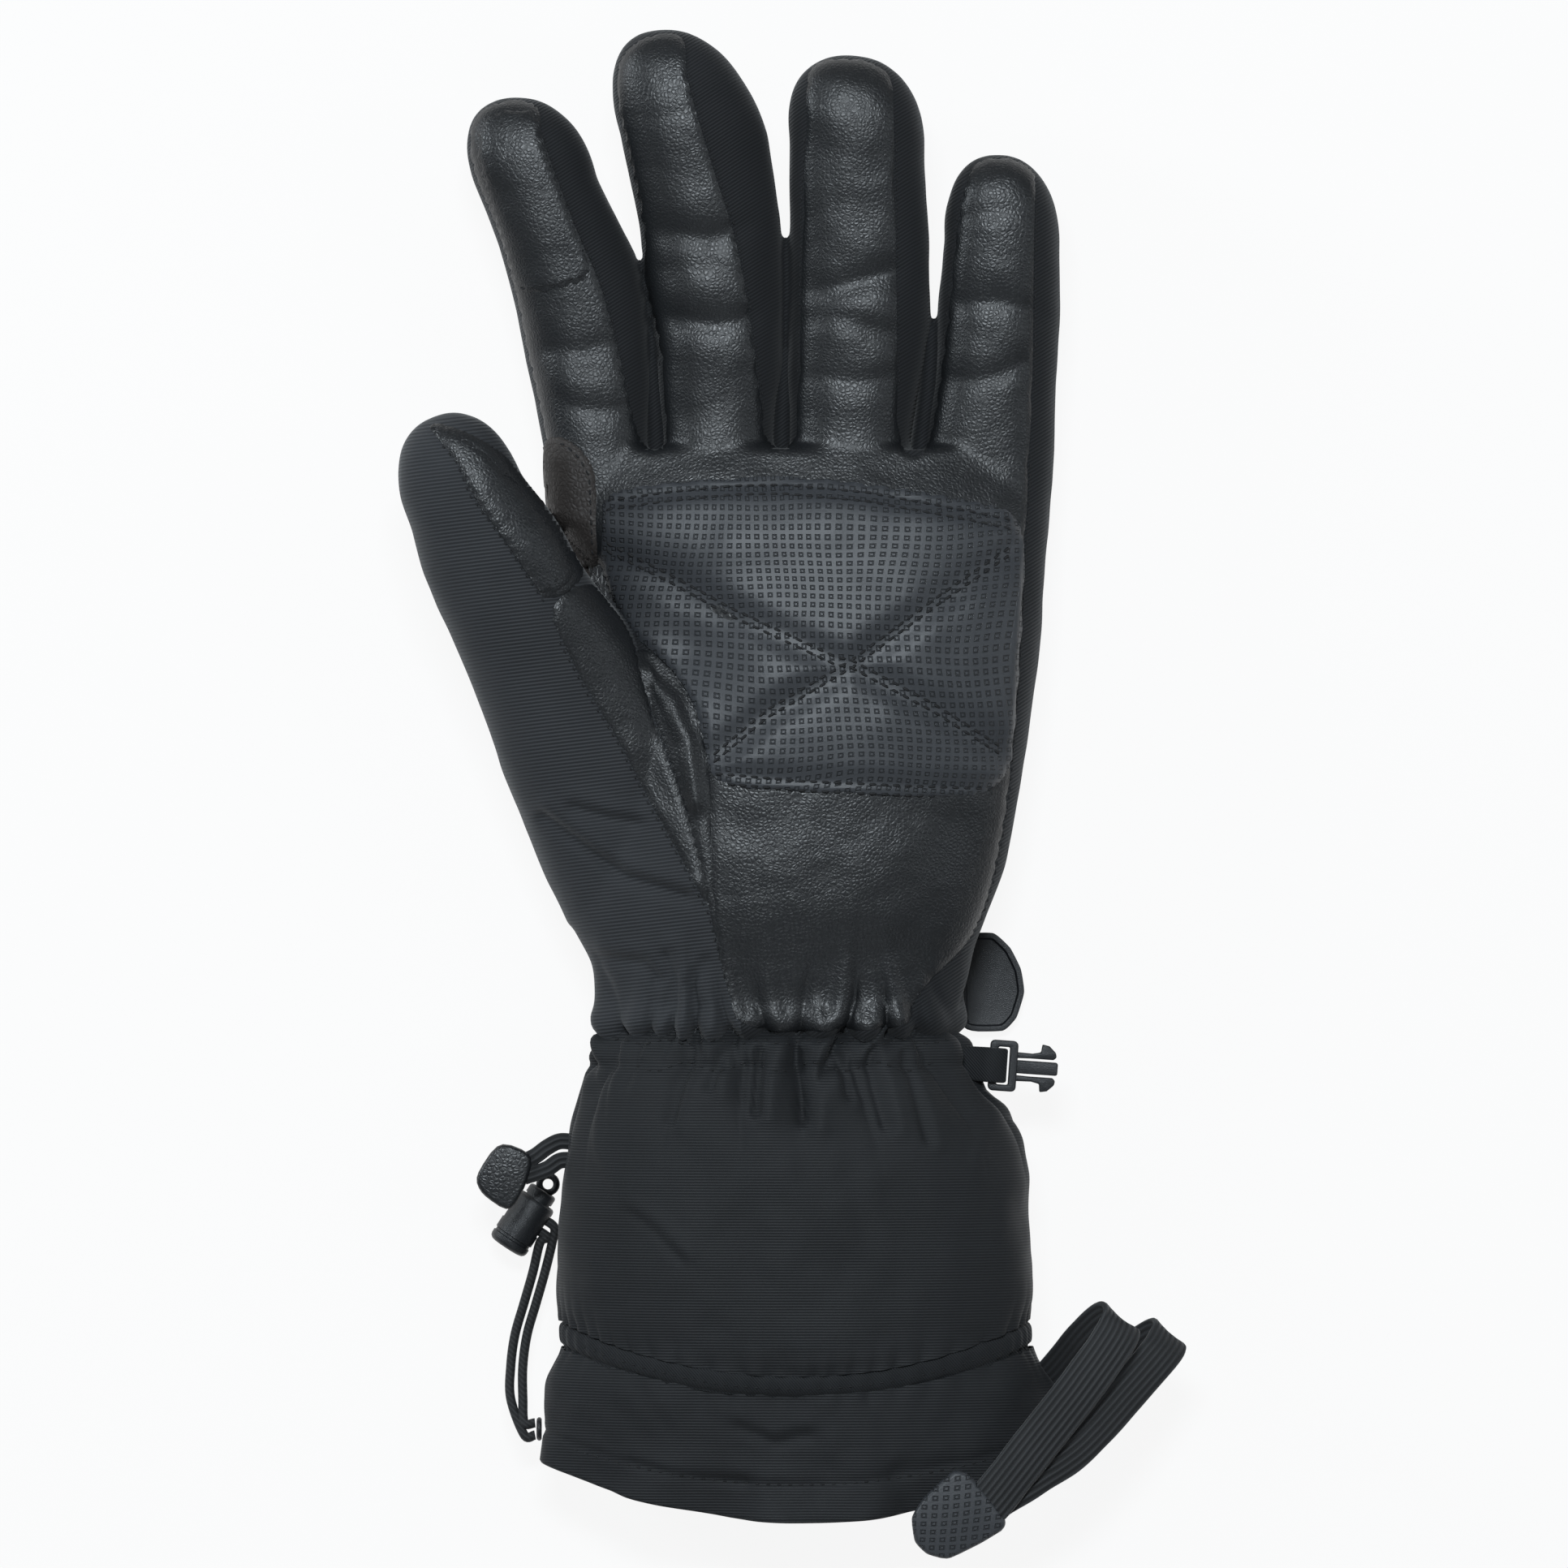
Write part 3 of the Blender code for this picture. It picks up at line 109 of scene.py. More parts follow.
def lamp(name, place, size, watts, aim=(0, 0, 0)):
    light = bpy.data.lights.new(name, "AREA")
    light.shape = "RECTANGLE"
    light.size, light.size_y = size
    light.energy = watts
    light.color = LAMP_COLOUR
    made = linked(name, light)
    made.location = place
    made.rotation_euler = (Vector(aim) - Vector(place)).to_track_quat("-Z", "Y").to_euler()


lamp("lamp_top", (-0.06, 0.42, 1.25), (0.36, 0.16), 10.0)
lamp("lamp_left", (-1.1, 0.5, 0.45), (0.2, 0.4), 5.0)
lamp("lamp_right", (1.05, 0.1, 0.8), (0.25, 0.7), 1.6)
lamp("lamp_foot", (0.1, -0.95, 0.9), (0.8, 0.3), 1.0)

PHOTO_SIDE = 0.34776
FOCAL = 200.0
SENSOR = 36.0
FOCUS_HEIGHT = 0.02
CAMERA_AT = (-0.00288, 0.00198)
camera_data = bpy.data.cameras.new("camera")
camera_data.lens = FOCAL
camera_data.sensor_width = SENSOR
camera = linked("camera", camera_data)
camera.location = (*CAMERA_AT, PHOTO_SIDE * FOCAL / SENSOR + FOCUS_HEIGHT)
bpy.context.scene.camera = camera
bpy.context.scene.view_settings.view_transform = "Standard"


# Cloths and leathers. The grain of the goat leather, the rib of the woven cloths and the embossed squares are
# each one node group that gives a height and a shade; every material sets its own scale and strength.
def group(name, inputs, outputs):
    made = bpy.data.node_groups.new(name, "ShaderNodeTree")
    for label, value in inputs.items():
        kind = "NodeSocketVector" if value is None else "NodeSocketFloat"
        socket = made.interface.new_socket(label, in_out="INPUT", socket_type=kind)
        if value is not None:
            socket.default_value = value
    for label in outputs:
        made.interface.new_socket(label, in_out="OUTPUT", socket_type="NodeSocketFloat")
    return made, made.nodes.new("NodeGroupInput").outputs, made.nodes.new("NodeGroupOutput").inputs


def between_node(tree, value, low, high, to_low=0.0, to_high=1.0):
    """The value's place between low and high, given between to_low and to_high."""
    return node(tree, "MapRange", dict(enumerate((value, low, high, to_low, to_high)))).outputs[0]


def sum_node(tree, first, part, second, rest):
    """Two values added up, each times its own part."""
    scaled = math_node(tree, "MULTIPLY", first, part)
    return math_node(tree, "ADD", scaled, math_node(tree, "MULTIPLY", second, rest))


def noise_node(tree, place, scale, detail):
    return node(tree, "TexNoise", {"Vector": place, "Scale": scale, "Detail": detail})


grain, given, out = group("goat_grain", {"Vector": None, "Scale": 900.0, "Warp": 0.35}, ("Height", "Shade"))
place, scale = given["Vector"], given["Scale"]
swirl = noise_node(grain, place, math_node(grain, "MULTIPLY", scale, 0.22), 3.0)
reach = math_node(grain, "MULTIPLY", math_node(grain, "DIVIDE", given["Warp"], scale), 4.0)
spread = node(grain, "CombineXYZ", {0: reach, 1: reach, 2: reach})
shift = node(grain, "VectorMath", {0: swirl.outputs["Color"], 1: spread.outputs[0], 2: place},
             operation="MULTIPLY_ADD")
pores = node(grain, "TexVoronoi", {"Vector": shift.outputs[0], "Scale": scale}, feature="DISTANCE_TO_EDGE")
pebbles = between_node(grain, pores.outputs["Distance"], 0.0, 0.32)
fine = noise_node(grain, place, math_node(grain, "MULTIPLY", scale, 1.7), 4.0)
broad = noise_node(grain, place, math_node(grain, "MULTIPLY", scale, 0.045), 5.0)
grain.links.new(sum_node(grain, pebbles, 0.72, fine.outputs[0], 0.28), out["Height"])
grain.links.new(sum_node(grain, pebbles, 0.4, broad.outputs[0], 0.6), out["Shade"])

# A wave texture has one rib in every tenth of pi, divided by its scale.
WAVE_PITCH = 0.314159
YARN_STRETCH = (260.0, 1500.0, 700.0)
rib, given, out = group("woven_rib", {"Vector": None, "Pitch": 0.0006, "Slub": 0.4}, ("Height", "Shade"))
place = given["Vector"]
lines = node(rib, "TexWave", {"Vector": place, "Scale": math_node(rib, "DIVIDE", WAVE_PITCH, given["Pitch"]),
                              "Distortion": given["Slub"], "Detail": 2.0, "Detail Scale": 1.4},
             bands_direction="Y").outputs["Fac"]
stretch = node(rib, "VectorMath", {0: place, 1: YARN_STRETCH}, operation="MULTIPLY")
yarn = noise_node(rib, stretch.outputs[0], 1.0, 3.0)
tone = noise_node(rib, place, 42.0, 4.0)
rib.links.new(sum_node(rib, lines, 0.75, yarn.outputs[0], 0.25), out["Height"])
rib.links.new(sum_node(rib, lines, 0.55, tone.outputs[0], 0.45), out["Shade"])


def surface(name, kind, dark, light, rough, bump, sheen=0.0, turn=0.0, level=0.5, uv=False, **values):
    """A Principled material whose colour, roughness and bump all come from one of the groups.

    Ribs fade out where the cloth faces along their own direction, as the yarn ends turn under at a fingertip.
    """
    made = bpy.data.materials.new(name)
    made.use_nodes = True
    tree = made.node_tree
    shader = tree.nodes["Principled BSDF"].inputs
    place = node(tree, "TexCoord", {}).outputs
    turned = node(tree, "Mapping", {"Vector": place["UV" if uv else "Object"], "Rotation": (0, 0, turn)})
    body = node(tree, "Group", {}, node_tree=kind)
    for label, value in values.items():
        body.inputs[label].default_value = value
    tree.links.new(turned.outputs[0], body.inputs["Vector"])
    shade, height = body.outputs["Shade"], body.outputs["Height"]
    if kind == rib and not uv:
        ahead = (math.sin(turn), math.cos(turn), 0)
        across = node(tree, "VectorMath", {0: place["Normal"], 1: ahead}, operation="DOT_PRODUCT")
        facing = math_node(tree, "ABSOLUTE", across.outputs["Value"])
        kept = between_node(tree, facing, 0.72, 0.94, 1.0, 0.0)
        height = math_node(tree, "MULTIPLY", height, kept)
        off = math_node(tree, "MULTIPLY", math_node(tree, "SUBTRACT", shade, 0.5), kept)
        shade = math_node(tree, "ADD", off, 0.5)
    colour = node(tree, "Mix", {"Factor": shade, "A": (*dark, 1), "B": (*light, 1)}, data_type="RGBA")
    tree.links.new(colour.outputs["Result"], shader["Base Color"])
    tree.links.new(between_node(tree, shade, 0.2, 0.8, rough[1], rough[0]), shader["Roughness"])
    relief = node(tree, "Bump", {"Distance": bump, "Strength": 1.0, "Height": height})
    tree.links.new(relief.outputs[0], shader["Normal"])
    shader["Specular IOR Level"].default_value = level
    if sheen:
        shader["Sheen Weight"].default_value = sheen
        shader["Sheen Roughness"].default_value = 0.45
    return made


goat = surface("goat_leather", grain, (0.006, 0.0068, 0.0078), (0.019, 0.021, 0.0235), (0.33, 0.47),
               0.000065, level=0.58, Scale=1150.0)
brown = surface("brown_leather", grain, (0.020, 0.016, 0.014), (0.050, 0.043, 0.040), (0.5, 0.68),
                0.00014, Scale=900.0)
twill = surface("softshell_twill", rib, (0.0045, 0.005, 0.006), (0.023, 0.025, 0.028), (0.72, 0.86),
                0.00012, 0.12, math.radians(-33), 0.3, Pitch=0.00068, Slub=0.35)
thumb_cloth = surface("thumb_twill", rib, (0.009, 0.0095, 0.011), (0.052, 0.056, 0.062), (0.66, 0.8),
                      0.00016, 0.15, math.radians(-7), 0.35, Pitch=0.00078, Slub=0.25)
nylon = surface("ribbed_nylon", rib, (0.0065, 0.0073, 0.0083), (0.020, 0.022, 0.025), (0.58, 0.74),
                0.00010, 0.06, 0.0, 0.35, Pitch=0.00062, Slub=0.3)
elastic_cloth = surface("ribbed_elastic", rib, (0.004, 0.0045, 0.005), (0.036, 0.038, 0.041), (0.66, 0.8),
                        0.00035, 0.1, uv=True, Pitch=0.0013, Slub=0.15)
binding = surface("binding_tape", rib, (0.008, 0.009, 0.010), (0.021, 0.023, 0.026), (0.66, 0.8), 0.00010,
                  0.08, math.radians(50), 0.3, Pitch=0.0005, Slub=0.3)
fleece = surface("lining_fleece", grain, (0.010, 0.010, 0.011), (0.040, 0.040, 0.043), (0.9, 1.0), 0.0006,
                 0.35, Scale=620.0, Warp=0.8)
moulded = surface("moulded_plastic", grain, (0.011, 0.012, 0.014), (0.021, 0.023, 0.026), (0.36, 0.5),
                  0.00003, Scale=3000.0)
steel = surface("spring_steel", grain, (0.45, 0.45, 0.46), (0.62, 0.62, 0.63), (0.28, 0.4), 0.00001,
                Scale=2500.0)
steel.node_tree.nodes["Principled BSDF"].inputs["Metallic"].default_value = 1.0
thread = surface("sewing_thread", grain, (0.005, 0.005, 0.006), (0.018, 0.019, 0.021), (0.6, 0.75), 0.00004,
                 Scale=4000.0)


# Shell of the hand. Fingers, thumb, palm and wrist are one softshell body: tubes of rounded section drawn
# through rows (y, middle x, width, middle z, depth), melted together, then creased where the hand bends and
# is gathered.
def rows_every(rows, step):
    """The rows at even steps of y on a smooth curve through them."""
    table = np.array(sorted(rows))
    slope = np.gradient(table[:, 1:], table[:, 0], axis=0)
    found = []
    for y in np.linspace(table[0, 0], table[-1, 0], max(2, int((table[-1, 0] - table[0, 0]) / step) + 1)):
        i = min(int(np.searchsorted(table[:, 0], y, side="right")) - 1, len(table) - 2)
        span = table[i + 1, 0] - table[i, 0]
        t = (y - table[i, 0]) / span
        ends = table[i, 1:] * (1 - t) ** 2 * (1 + 2 * t) + table[i + 1, 1:] * t ** 2 * (3 - 2 * t)
        found.append((y, *(ends + span * (slope[i] * t * (1 - t) ** 2 - slope[i + 1] * t ** 2 * (1 - t)))))
    return found


SECTION = 2.5
PRESSED = 1.1


def ring(row, sides):
    """One outline of a tube; its underside is pressed flat by the table."""
    y, middle, width, height, depth = row
    angle = np.arange(sides) * 2 * math.pi / sides
    cosine, sine = np.cos(angle), np.sin(angle)
    x = middle + width / 2 * np.sign(cosine) * np.abs(cosine) ** (2 / SECTION)
    z = np.sign(sine) * np.abs(sine) ** (2 / SECTION)
    z = np.maximum(height + depth / 2 * np.where(z < 0, z * PRESSED, z), height - depth / 2)
    return np.stack([x, np.full(sides, y), z], axis=1)


def end_rows(row, tip):
    """Rows that round a finger off from its last full row to its tip."""
    y, middle, width, height, depth = row
    tip_y, tip_x, tip_z = tip
    found = []
    for step in range(1, 13):
        part = math.sin(step / 12 * math.pi / 2) * 0.999
        scale = (1 - part ** 2.3) ** (1 / 2.3)
        found.append((y + (tip_y - y) * part, middle + (tip_x - middle) * part, width * scale,
                      height + (tip_z - height) * part, depth * scale))
    return found


def made_mesh(name, points, faces, material, smooth=True):
    mesh = bpy.data.meshes.new(name)
    mesh.from_pydata([tuple(p) for p in points], [], [tuple(f) for f in faces])
    mesh.materials.append(material)
    if smooth:
        mesh.shade_smooth()
    return linked(name, mesh)


def quads(rings, sides, flip=False):
    """Faces between the outlines of a tube, which all have the same number of points."""
    found = []
    for start in range(0, (rings - 1) * sides, sides):
        for j in range(sides):
            a, b = start + j, start + (j + 1) % sides
            found.append((a, b, b + sides, a + sides) if flip else (a, a + sides, b + sides, b))
    return found


def tube_mesh(rings):
    """Points and faces of a closed tube through rings of equal count, fanned shut at both ends."""
    count = len(rings[0])
    points = list(np.concatenate(rings))
    faces = quads(len(rings), count)
    for ring_index, flip in ((0, False), (len(rings) - 1, True)):
        centre = len(points)
        points.append(rings[ring_index].mean(axis=0))
        for j in range(count):
            a, b = ring_index * count + j, ring_index * count + (j + 1) % count
            faces.append((centre, b, a) if flip else (centre, a, b))
    return np.array(points), faces


ROW_STEP = 2.0
APART = 1.7
FINGERS = {"index": ([(60.0, -42.5, 25.0, 16.5, 26.0), (80.5, -44.8, 25.9, 16.5, 26.0),
                      (100.3, -46.8, 30.1, 18.0, 26.0), (118.3, -50.5, 31.5, 20.5, 25.5),
                      (136.3, -58.1, 29.6, 23.0, 24.0)], (153.6, -62.3, 25.0)),
           "middle": ([(60.0, -17.5, 27.0, 17.0, 28.0), (82.3, -17.5, 27.2, 17.0, 28.0),
                       (100.3, -17.2, 30.1, 18.5, 28.0), (118.3, -18.4, 32.8, 20.5, 27.5),
                       (145.3, -22.8, 34.4, 25.0, 26.0)], (168.4, -29.5, 28.0)),
           "ring": ([(60.0, 11.0, 28.5, 17.0, 28.0), (77.8, 11.7, 29.2, 17.0, 28.0),
                     (100.3, 13.5, 32.8, 18.5, 28.0), (118.3, 13.8, 32.8, 20.5, 27.0),
                     (145.3, 13.2, 31.4, 25.0, 24.5)], (162.9, 11.4, 27.0)),
           "little": ([(56.0, 41.0, 31.0, 16.0, 26.0), (75.1, 42.0, 31.5, 16.0, 26.0),
                       (95.8, 44.2, 28.8, 17.5, 25.5), (113.8, 45.0, 28.1, 20.0, 24.5),
                       (122.8, 45.5, 27.0, 21.5, 23.5)], (141.3, 44.4, 24.0))}
THUMB_ROWS = [(-71.5, -3.3, 40.0, 20.0, 30.0), (-48.3, -0.2, 43.0, 23.0, 32.0),
              (-26.4, 1.0, 40.0, 27.0, 31.0), (-6.7, -0.1, 33.4, 33.0, 28.0),
              (10.1, 0.1, 31.0, 37.0, 26.5), (21.0, 0.3, 27.0, 39.0, 25.0)]
THUMB_TIP = (41.2, 1.4, 40.0)
THUMB_AT = Vector((-63.0, 45.0, 0.0))
THUMB_SIDE = Vector((0.888, 0.460, 0.0))
THUMB_ALONG = Vector((-0.460, 0.888, 0.0))
HAND_ROWS = [(76.0, 0.75, 110.5, 17.0, 28.0), (64.3, 1.0, 110.0, 17.5, 35.0),
             (57.0, 2.4, 106.2, 18.5, 37.0), (49.0, 5.5, 99.0, 19.0, 38.0), (36.0, 5.9, 96.2, 20.0, 40.0),
             (19.3, 2.35, 99.7, 20.5, 41.0), (1.3, -0.5, 100.0, 20.5, 41.0),
             (-16.7, -3.9, 99.6, 20.3, 40.0), (-28.0, -4.7, 92.0, 21.6, 36.0),
             (-38.0, -3.6, 83.5, 21.2, 33.0), (-47.0, -3.1, 79.0, 20.5, 31.4),
             (-55.5, -3.4, 78.0, 20.3, 30.8)]


FINGER_SIDES = 56
HAND_SIDES = 96


def tubes(with_thumb):
    stacks = []
    for rows, tip in FINGERS.values():
        narrow = [(y, x, width - APART, z, depth) for y, x, width, z, depth in rows_every(rows, ROW_STEP)]
        stacks.append([ring(row, FINGER_SIDES) for row in narrow + end_rows(narrow[-1], tip)])
    stacks.append([ring(row, HAND_SIDES) for row in rows_every(HAND_ROWS, ROW_STEP)])
    if with_thumb:
        rows = rows_every(THUMB_ROWS, ROW_STEP)
        turned = []
        for loop in [ring(row, FINGER_SIDES) for row in rows + end_rows(rows[-1], THUMB_TIP)]:
            across, along = np.array(THUMB_SIDE), np.array(THUMB_ALONG)
            turned.append(np.array(THUMB_AT) + loop[:, :1] * across + loop[:, 1:2] * along
                          + loop[:, 2:] * np.array([0, 0, 1.0]))
        stacks.append(turned)
    return stacks


def turned_out(obj):
    """Selects an object and points its faces outwards."""
    obj.select_set(True)
    bpy.context.view_layer.objects.active = obj
    bpy.ops.object.mode_set(mode="EDIT")
    bpy.ops.mesh.select_all(action="SELECT")
    bpy.ops.mesh.normals_make_consistent(inside=False)
    bpy.ops.object.mode_set(mode="OBJECT")


def melted(name, with_thumb, voxel):
    """The tubes as one skin: joined, remeshed and relaxed."""
    parts = []
    for stack in tubes(with_thumb):
        points, faces = tube_mesh(stack)
        parts.append(made_mesh(name, points * MM, faces, twill))
    bpy.ops.object.select_all(action="DESELECT")
    for part in parts:
        turned_out(part)
    bpy.ops.object.join()
    made = bpy.context.object
    remesh = made.modifiers.new("remesh", "REMESH")
    remesh.mode = "VOXEL"
    remesh.voxel_size = voxel * MM
    relax = made.modifiers.new("relax", "SMOOTH")
    relax.factor = 0.5
    relax.iterations = 7
    for modifier in ("remesh", "relax"):
        bpy.ops.object.modifier_apply(modifier=modifier)
    made.data.shade_smooth()
    return made


def arrays(mesh):
    points = np.empty(len(mesh.vertices) * 3)
    mesh.vertices.foreach_get("co", points)
    normals = np.empty(len(mesh.vertices) * 3)
    mesh.vertices.foreach_get("normal", normals)
    return points.reshape(-1, 3) / MM, normals.reshape(-1, 3)


def hills(points, scale, seed, stretched=(1, 1, 1)):
    """Smooth noise from -1 to 1 with hills of that size in millimetres."""
    wide = np.array(stretched) * scale
    return np.array([noise.noise(Vector(p / wide + seed)) for p in points])


def along_line(points, line, width):
    """1 on a line drawn over the glove from above, falling to 0 a width away."""
    found = np.zeros(len(points))
    for (ax, ay), (bx, by) in zip(line, line[1:]):
        ab = np.array([bx - ax, by - ay])
        rel = points[:, :2] - np.array([ax, ay])
        t = np.clip(rel @ ab / (ab @ ab), 0, 1)
        away = np.linalg.norm(rel - t[:, None] * ab, axis=1)
        found = np.maximum(found, np.exp(-(away / width) ** 2))
    return found


# The creases of a worn palm: (finger's middle x, y, depth, breadth, slant), then the folds of the twill.
CREASES = [(-20.0, 123.8, 1.0, 3.0, 0.10), (-19.5, 114.5, 0.3, 2.4, -0.12), (-18.0, 104.8, 1.1, 3.0, 0.08),
           (13.5, 112.8, 1.1, 3.0, 0.10), (13.0, 103.0, 0.5, 2.4, -0.10), (12.0, 92.0, 0.4, 2.0, 0.1),
           (43.0, 107.4, 0.6, 2.2, -0.2), (42.0, 93.0, 0.45, 2.0, 0.15), (-48.0, 99.0, 0.3, 2.2, 0.1),
           (-46.0, 86.0, 0.35, 2.0, -0.1), (45.0, 127.0, 0.35, 2.0, 0.0), (-27.0, 150.0, 0.25, 2.0, 0.1)]
TWILL_FOLDS = [([(-49.5, -3.2), (-42.0, -5.6), (-34.9, -6.6)], 1.1, 1.3),
               ([(-56.0, -5.5), (-47.0, -12.0), (-38.0, -18.5), (-24.5, -22.8)], 1.7, 1.5),
               ([(-44.6, -36.5), (-34.0, -37.4), (-31.0, -41.0)], 1.2, 1.5),
               ([(-28.8, -36.0), (-27.2, -42.0), (-28.6, -47.0)], 1.2, 1.4),
               ([(-20.4, -36.8), (-23.5, -42.0), (-21.5, -47.0)], 1.0, 1.3)]
ELASTIC_Y = -53.6
PLEAT_PITCH = 7.6


def pleat(points):
    """Height of the gathers round the wrist, from -1 in the valleys to 1 on the ridges."""
    along = points[:, 0] + 0.6 * points[:, 2]
    down = points[:, 1] - ELASTIC_Y
    bend = 0.5 * np.sin(along / 9.0 + 0.7) + 0.4 * np.sin(along / 4.3 + 2.0)
    bend += 0.13 * down * np.sin(along / 6.4)
    wave = np.sqrt(np.sin(along * np.pi / PLEAT_PITCH + bend) ** 2 + 0.012)
    uneven = 0.75 + 0.3 * np.sin(along / 5.1 + 1.3)
    return (wave ** 0.8 * 2 - 1) * uneven


def creased(points, normals):
    """How far each point of the hand moves along its normal."""
    move = 0.5 * hills(points, 16.0, 3.1) + 0.16 * hills(points, 6.5, 9.4)
    up = np.clip(normals[:, 2], 0, 1)
    for x, y, depth, breadth, slant in CREASES:
        aside = points[:, 0] - x
        at = points[:, 1] - y - slant * aside - 1.3 * np.sin(aside / 5.0 + y)
        near = np.exp(-(aside / 13.0) ** 4) * up
        move -= 0.8 * depth * np.exp(-(at / breadth) ** 2) * near
        move += 0.4 * depth * np.exp(-((np.abs(at) - 2.6 * breadth) / (1.9 * breadth)) ** 2) * near
    for line, depth, width in TWILL_FOLDS:
        move -= depth * along_line(points, line, width) * up
        lifted = [(x + 1.2, y + 2.6) for x, y in line]
        move += 0.5 * depth * along_line(points, lifted, width * 1.6) * up
    hollow = np.exp(-((points[:, 0] + 24.0) / 13.0) ** 2 - ((points[:, 1] - 31.0) / 13.0) ** 2)
    heel = np.exp(-((points[:, 0] - 8.0) / 26.0) ** 2 - ((points[:, 1] + 18.0) / 12.0) ** 2)
    move += (0.9 * heel - 1.6 * hollow) * up
    above = np.clip(points[:, 1] - ELASTIC_Y, 0, None)
    gather = np.exp(-(above / (9.0 + 3.5 * np.sin(points[:, 0] * 0.7))) ** 1.8) * (points[:, 1] < -20)
    gather *= np.clip((points[:, 2] - 6.0) / 6.0, 0, 1)
    move += gather * (2.8 * pleat(points) + 1.2 * np.exp(-((above - 4.5) / 3.0) ** 2))
    move -= 2.0 * np.exp(-(above / 1.5) ** 2) * np.clip((points[:, 2] - 6.0) / 6.0, 0, 1)
    pressed = np.clip(points[:, 2] / 2.5, 0, 1)
    return move * pressed


def crease(obj):
    points, normals = arrays(obj.data)
    moved = points + normals * creased(points, normals)[:, None]
    edge = np.exp(-np.clip(points[:, 1] - ELASTIC_Y, 0, None) / 3.0) * (points[:, 1] < -40)
    moved[:, 1] -= 1.8 * edge * pleat(points)
    moved[:, 2] = np.maximum(moved[:, 2], 0.05)
    obj.data.vertices.foreach_set("co", (moved * MM).ravel())
    obj.data.update()


SHELL_GRAIN = 0.85
UNDER_GRAIN = 0.95
shell = melted("shell", True, SHELL_GRAIN)
crease(shell)
under = melted("under", False, UNDER_GRAIN)
crease(under)


def tree_of(obj):
    points, _ = arrays(obj.data)
    return BVHTree.FromPolygons([Vector(p) for p in points], [tuple(f.vertices) for f in obj.data.polygons])


whole_skin = tree_of(shell)
hand_skin = tree_of(under)
bpy.data.objects.remove(under, do_unlink=True)


def tube_share(points, rows, across, along):
    """How far across a tube each point lies: under 1 is inside, over 1 outside."""
    rows = np.array(rows_every(rows, ROW_STEP))
    middle, width, height, depth = (np.interp(along, rows[:, 0], rows[:, k]) for k in (1, 2, 3, 4))
    aside, above = (across - middle) / (width / 2), (points[:, 2] - height) / (depth / 2)
    return np.abs(aside) ** SECTION + np.abs(above) ** SECTION


def thumb_share(points):
    rel = points - np.array(THUMB_AT)
    across, along = rel @ np.array(THUMB_SIDE), rel @ np.array(THUMB_ALONG)
    return np.where(along > -10.0, tube_share(points, THUMB_ROWS, across, along), 99.0)


FINGER_ROOT = 88.0


def owner_of(points):
    """The moving end that each point belongs to, or palm."""
    shares = [tube_share(points, rows, points[:, 0], points[:, 1]) for rows, _ in FINGERS.values()]
    nearest = np.argmin(shares, axis=0)
    found = np.where(points[:, 1] > FINGER_ROOT, nearest, 5)
    found = np.where((thumb_share(points) < 1.45) & (found == 5), 4, found)
    return np.array([*FINGERS, "thumb", "palm"])[found]


def follow(obj, owner):
    """A finger's or the thumb's piece has its place baked into its mesh; any other rides on its body."""
    if owner == "thumb":
        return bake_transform(obj)
    if owner in FINGERS:
        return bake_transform(obj)
    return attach(obj, "glove" if owner == "palm" else owner)


def finished(obj, slot, owner, *nodes):
    """The piece's slot, which is not used; its owner, whose body it rides on unless it is a finger or the
    thumb; and the nodes that it stands for.
    """
    follow(obj, owner)
    if nodes:
        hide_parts(*nodes)
    return obj


def shared_out(obj, label, material, slot, replaced):
    """Cuts one skin into the palm's and the fingers' pieces, which keep the whole skin's smooth shading."""
    mesh = obj.data
    points, normals = arrays(mesh)
    faces = [tuple(f.vertices) for f in mesh.polygons]
    centres = np.array([points[list(face)].mean(axis=0) for face in faces])
    owners = owner_of(centres)
    made = {}
    for owner in (*FINGERS, "thumb", "palm"):
        picked = [faces[i] for i in np.flatnonzero(owners == owner)]
        if not picked:
            continue
        used = np.unique(np.array([v for face in picked for v in face]))
        place = {int(v): i for i, v in enumerate(used)}
        piece = made_mesh(f"{owner}_{label}", points[used] * MM,
                          [[place[v] for v in face] for face in picked], material)
        piece.data.normals_split_custom_set_from_vertices([tuple(n) for n in normals[used]])
        made[owner] = finished(piece, slot, owner, *replaced.get(owner, ()))
    bpy.data.objects.remove(obj, do_unlink=True)
    return made


def cut_open(obj, y):
    """Takes the blind end off, so that the hand is open towards the cuff."""
    mesh_data = bmesh.new()
    mesh_data.from_mesh(obj.data)
    gone = [face for face in mesh_data.faces if face.calc_center_median().y < y * MM]
    bmesh.ops.delete(mesh_data, geom=gone, context="FACES")
    mesh_data.to_mesh(obj.data)
    mesh_data.free()


HAND_END = -54.3
cut_open(shell, HAND_END)
SOFT_NODES = {
    owner: [f"{owner}_{part}" for part in ("back", "lining", "knuckle")] for owner in (*FINGERS, "thumb")
}
SOFT_NODES["palm"] = ["back_panel", "fourchette_index_middle", "fourchette_middle_ring",
                      "fourchette_ring_little", "thumb_base", "hand_lining"]
skin = shared_out(shell, "softshell", twill, "softshell", SOFT_NODES)
skin["thumb"].data.materials[0] = thumb_cloth

# The twill of the thumb runs down over the heel of the hand to the wrist, beside a slanting seam.
HEEL_SEAM_X, HEEL_SEAM_SLANT, HEEL_TOP = -12.0, 0.3, 50.0
heel = skin["palm"].data
heel.materials.append(thumb_cloth)
for face in heel.polygons:
    x, y = face.center.x / MM, face.center.y / MM
    if x < HEEL_SEAM_X - max(0.0, y + 45.0) * HEEL_SEAM_SLANT and y < HEEL_TOP:
        face.material_index = 1


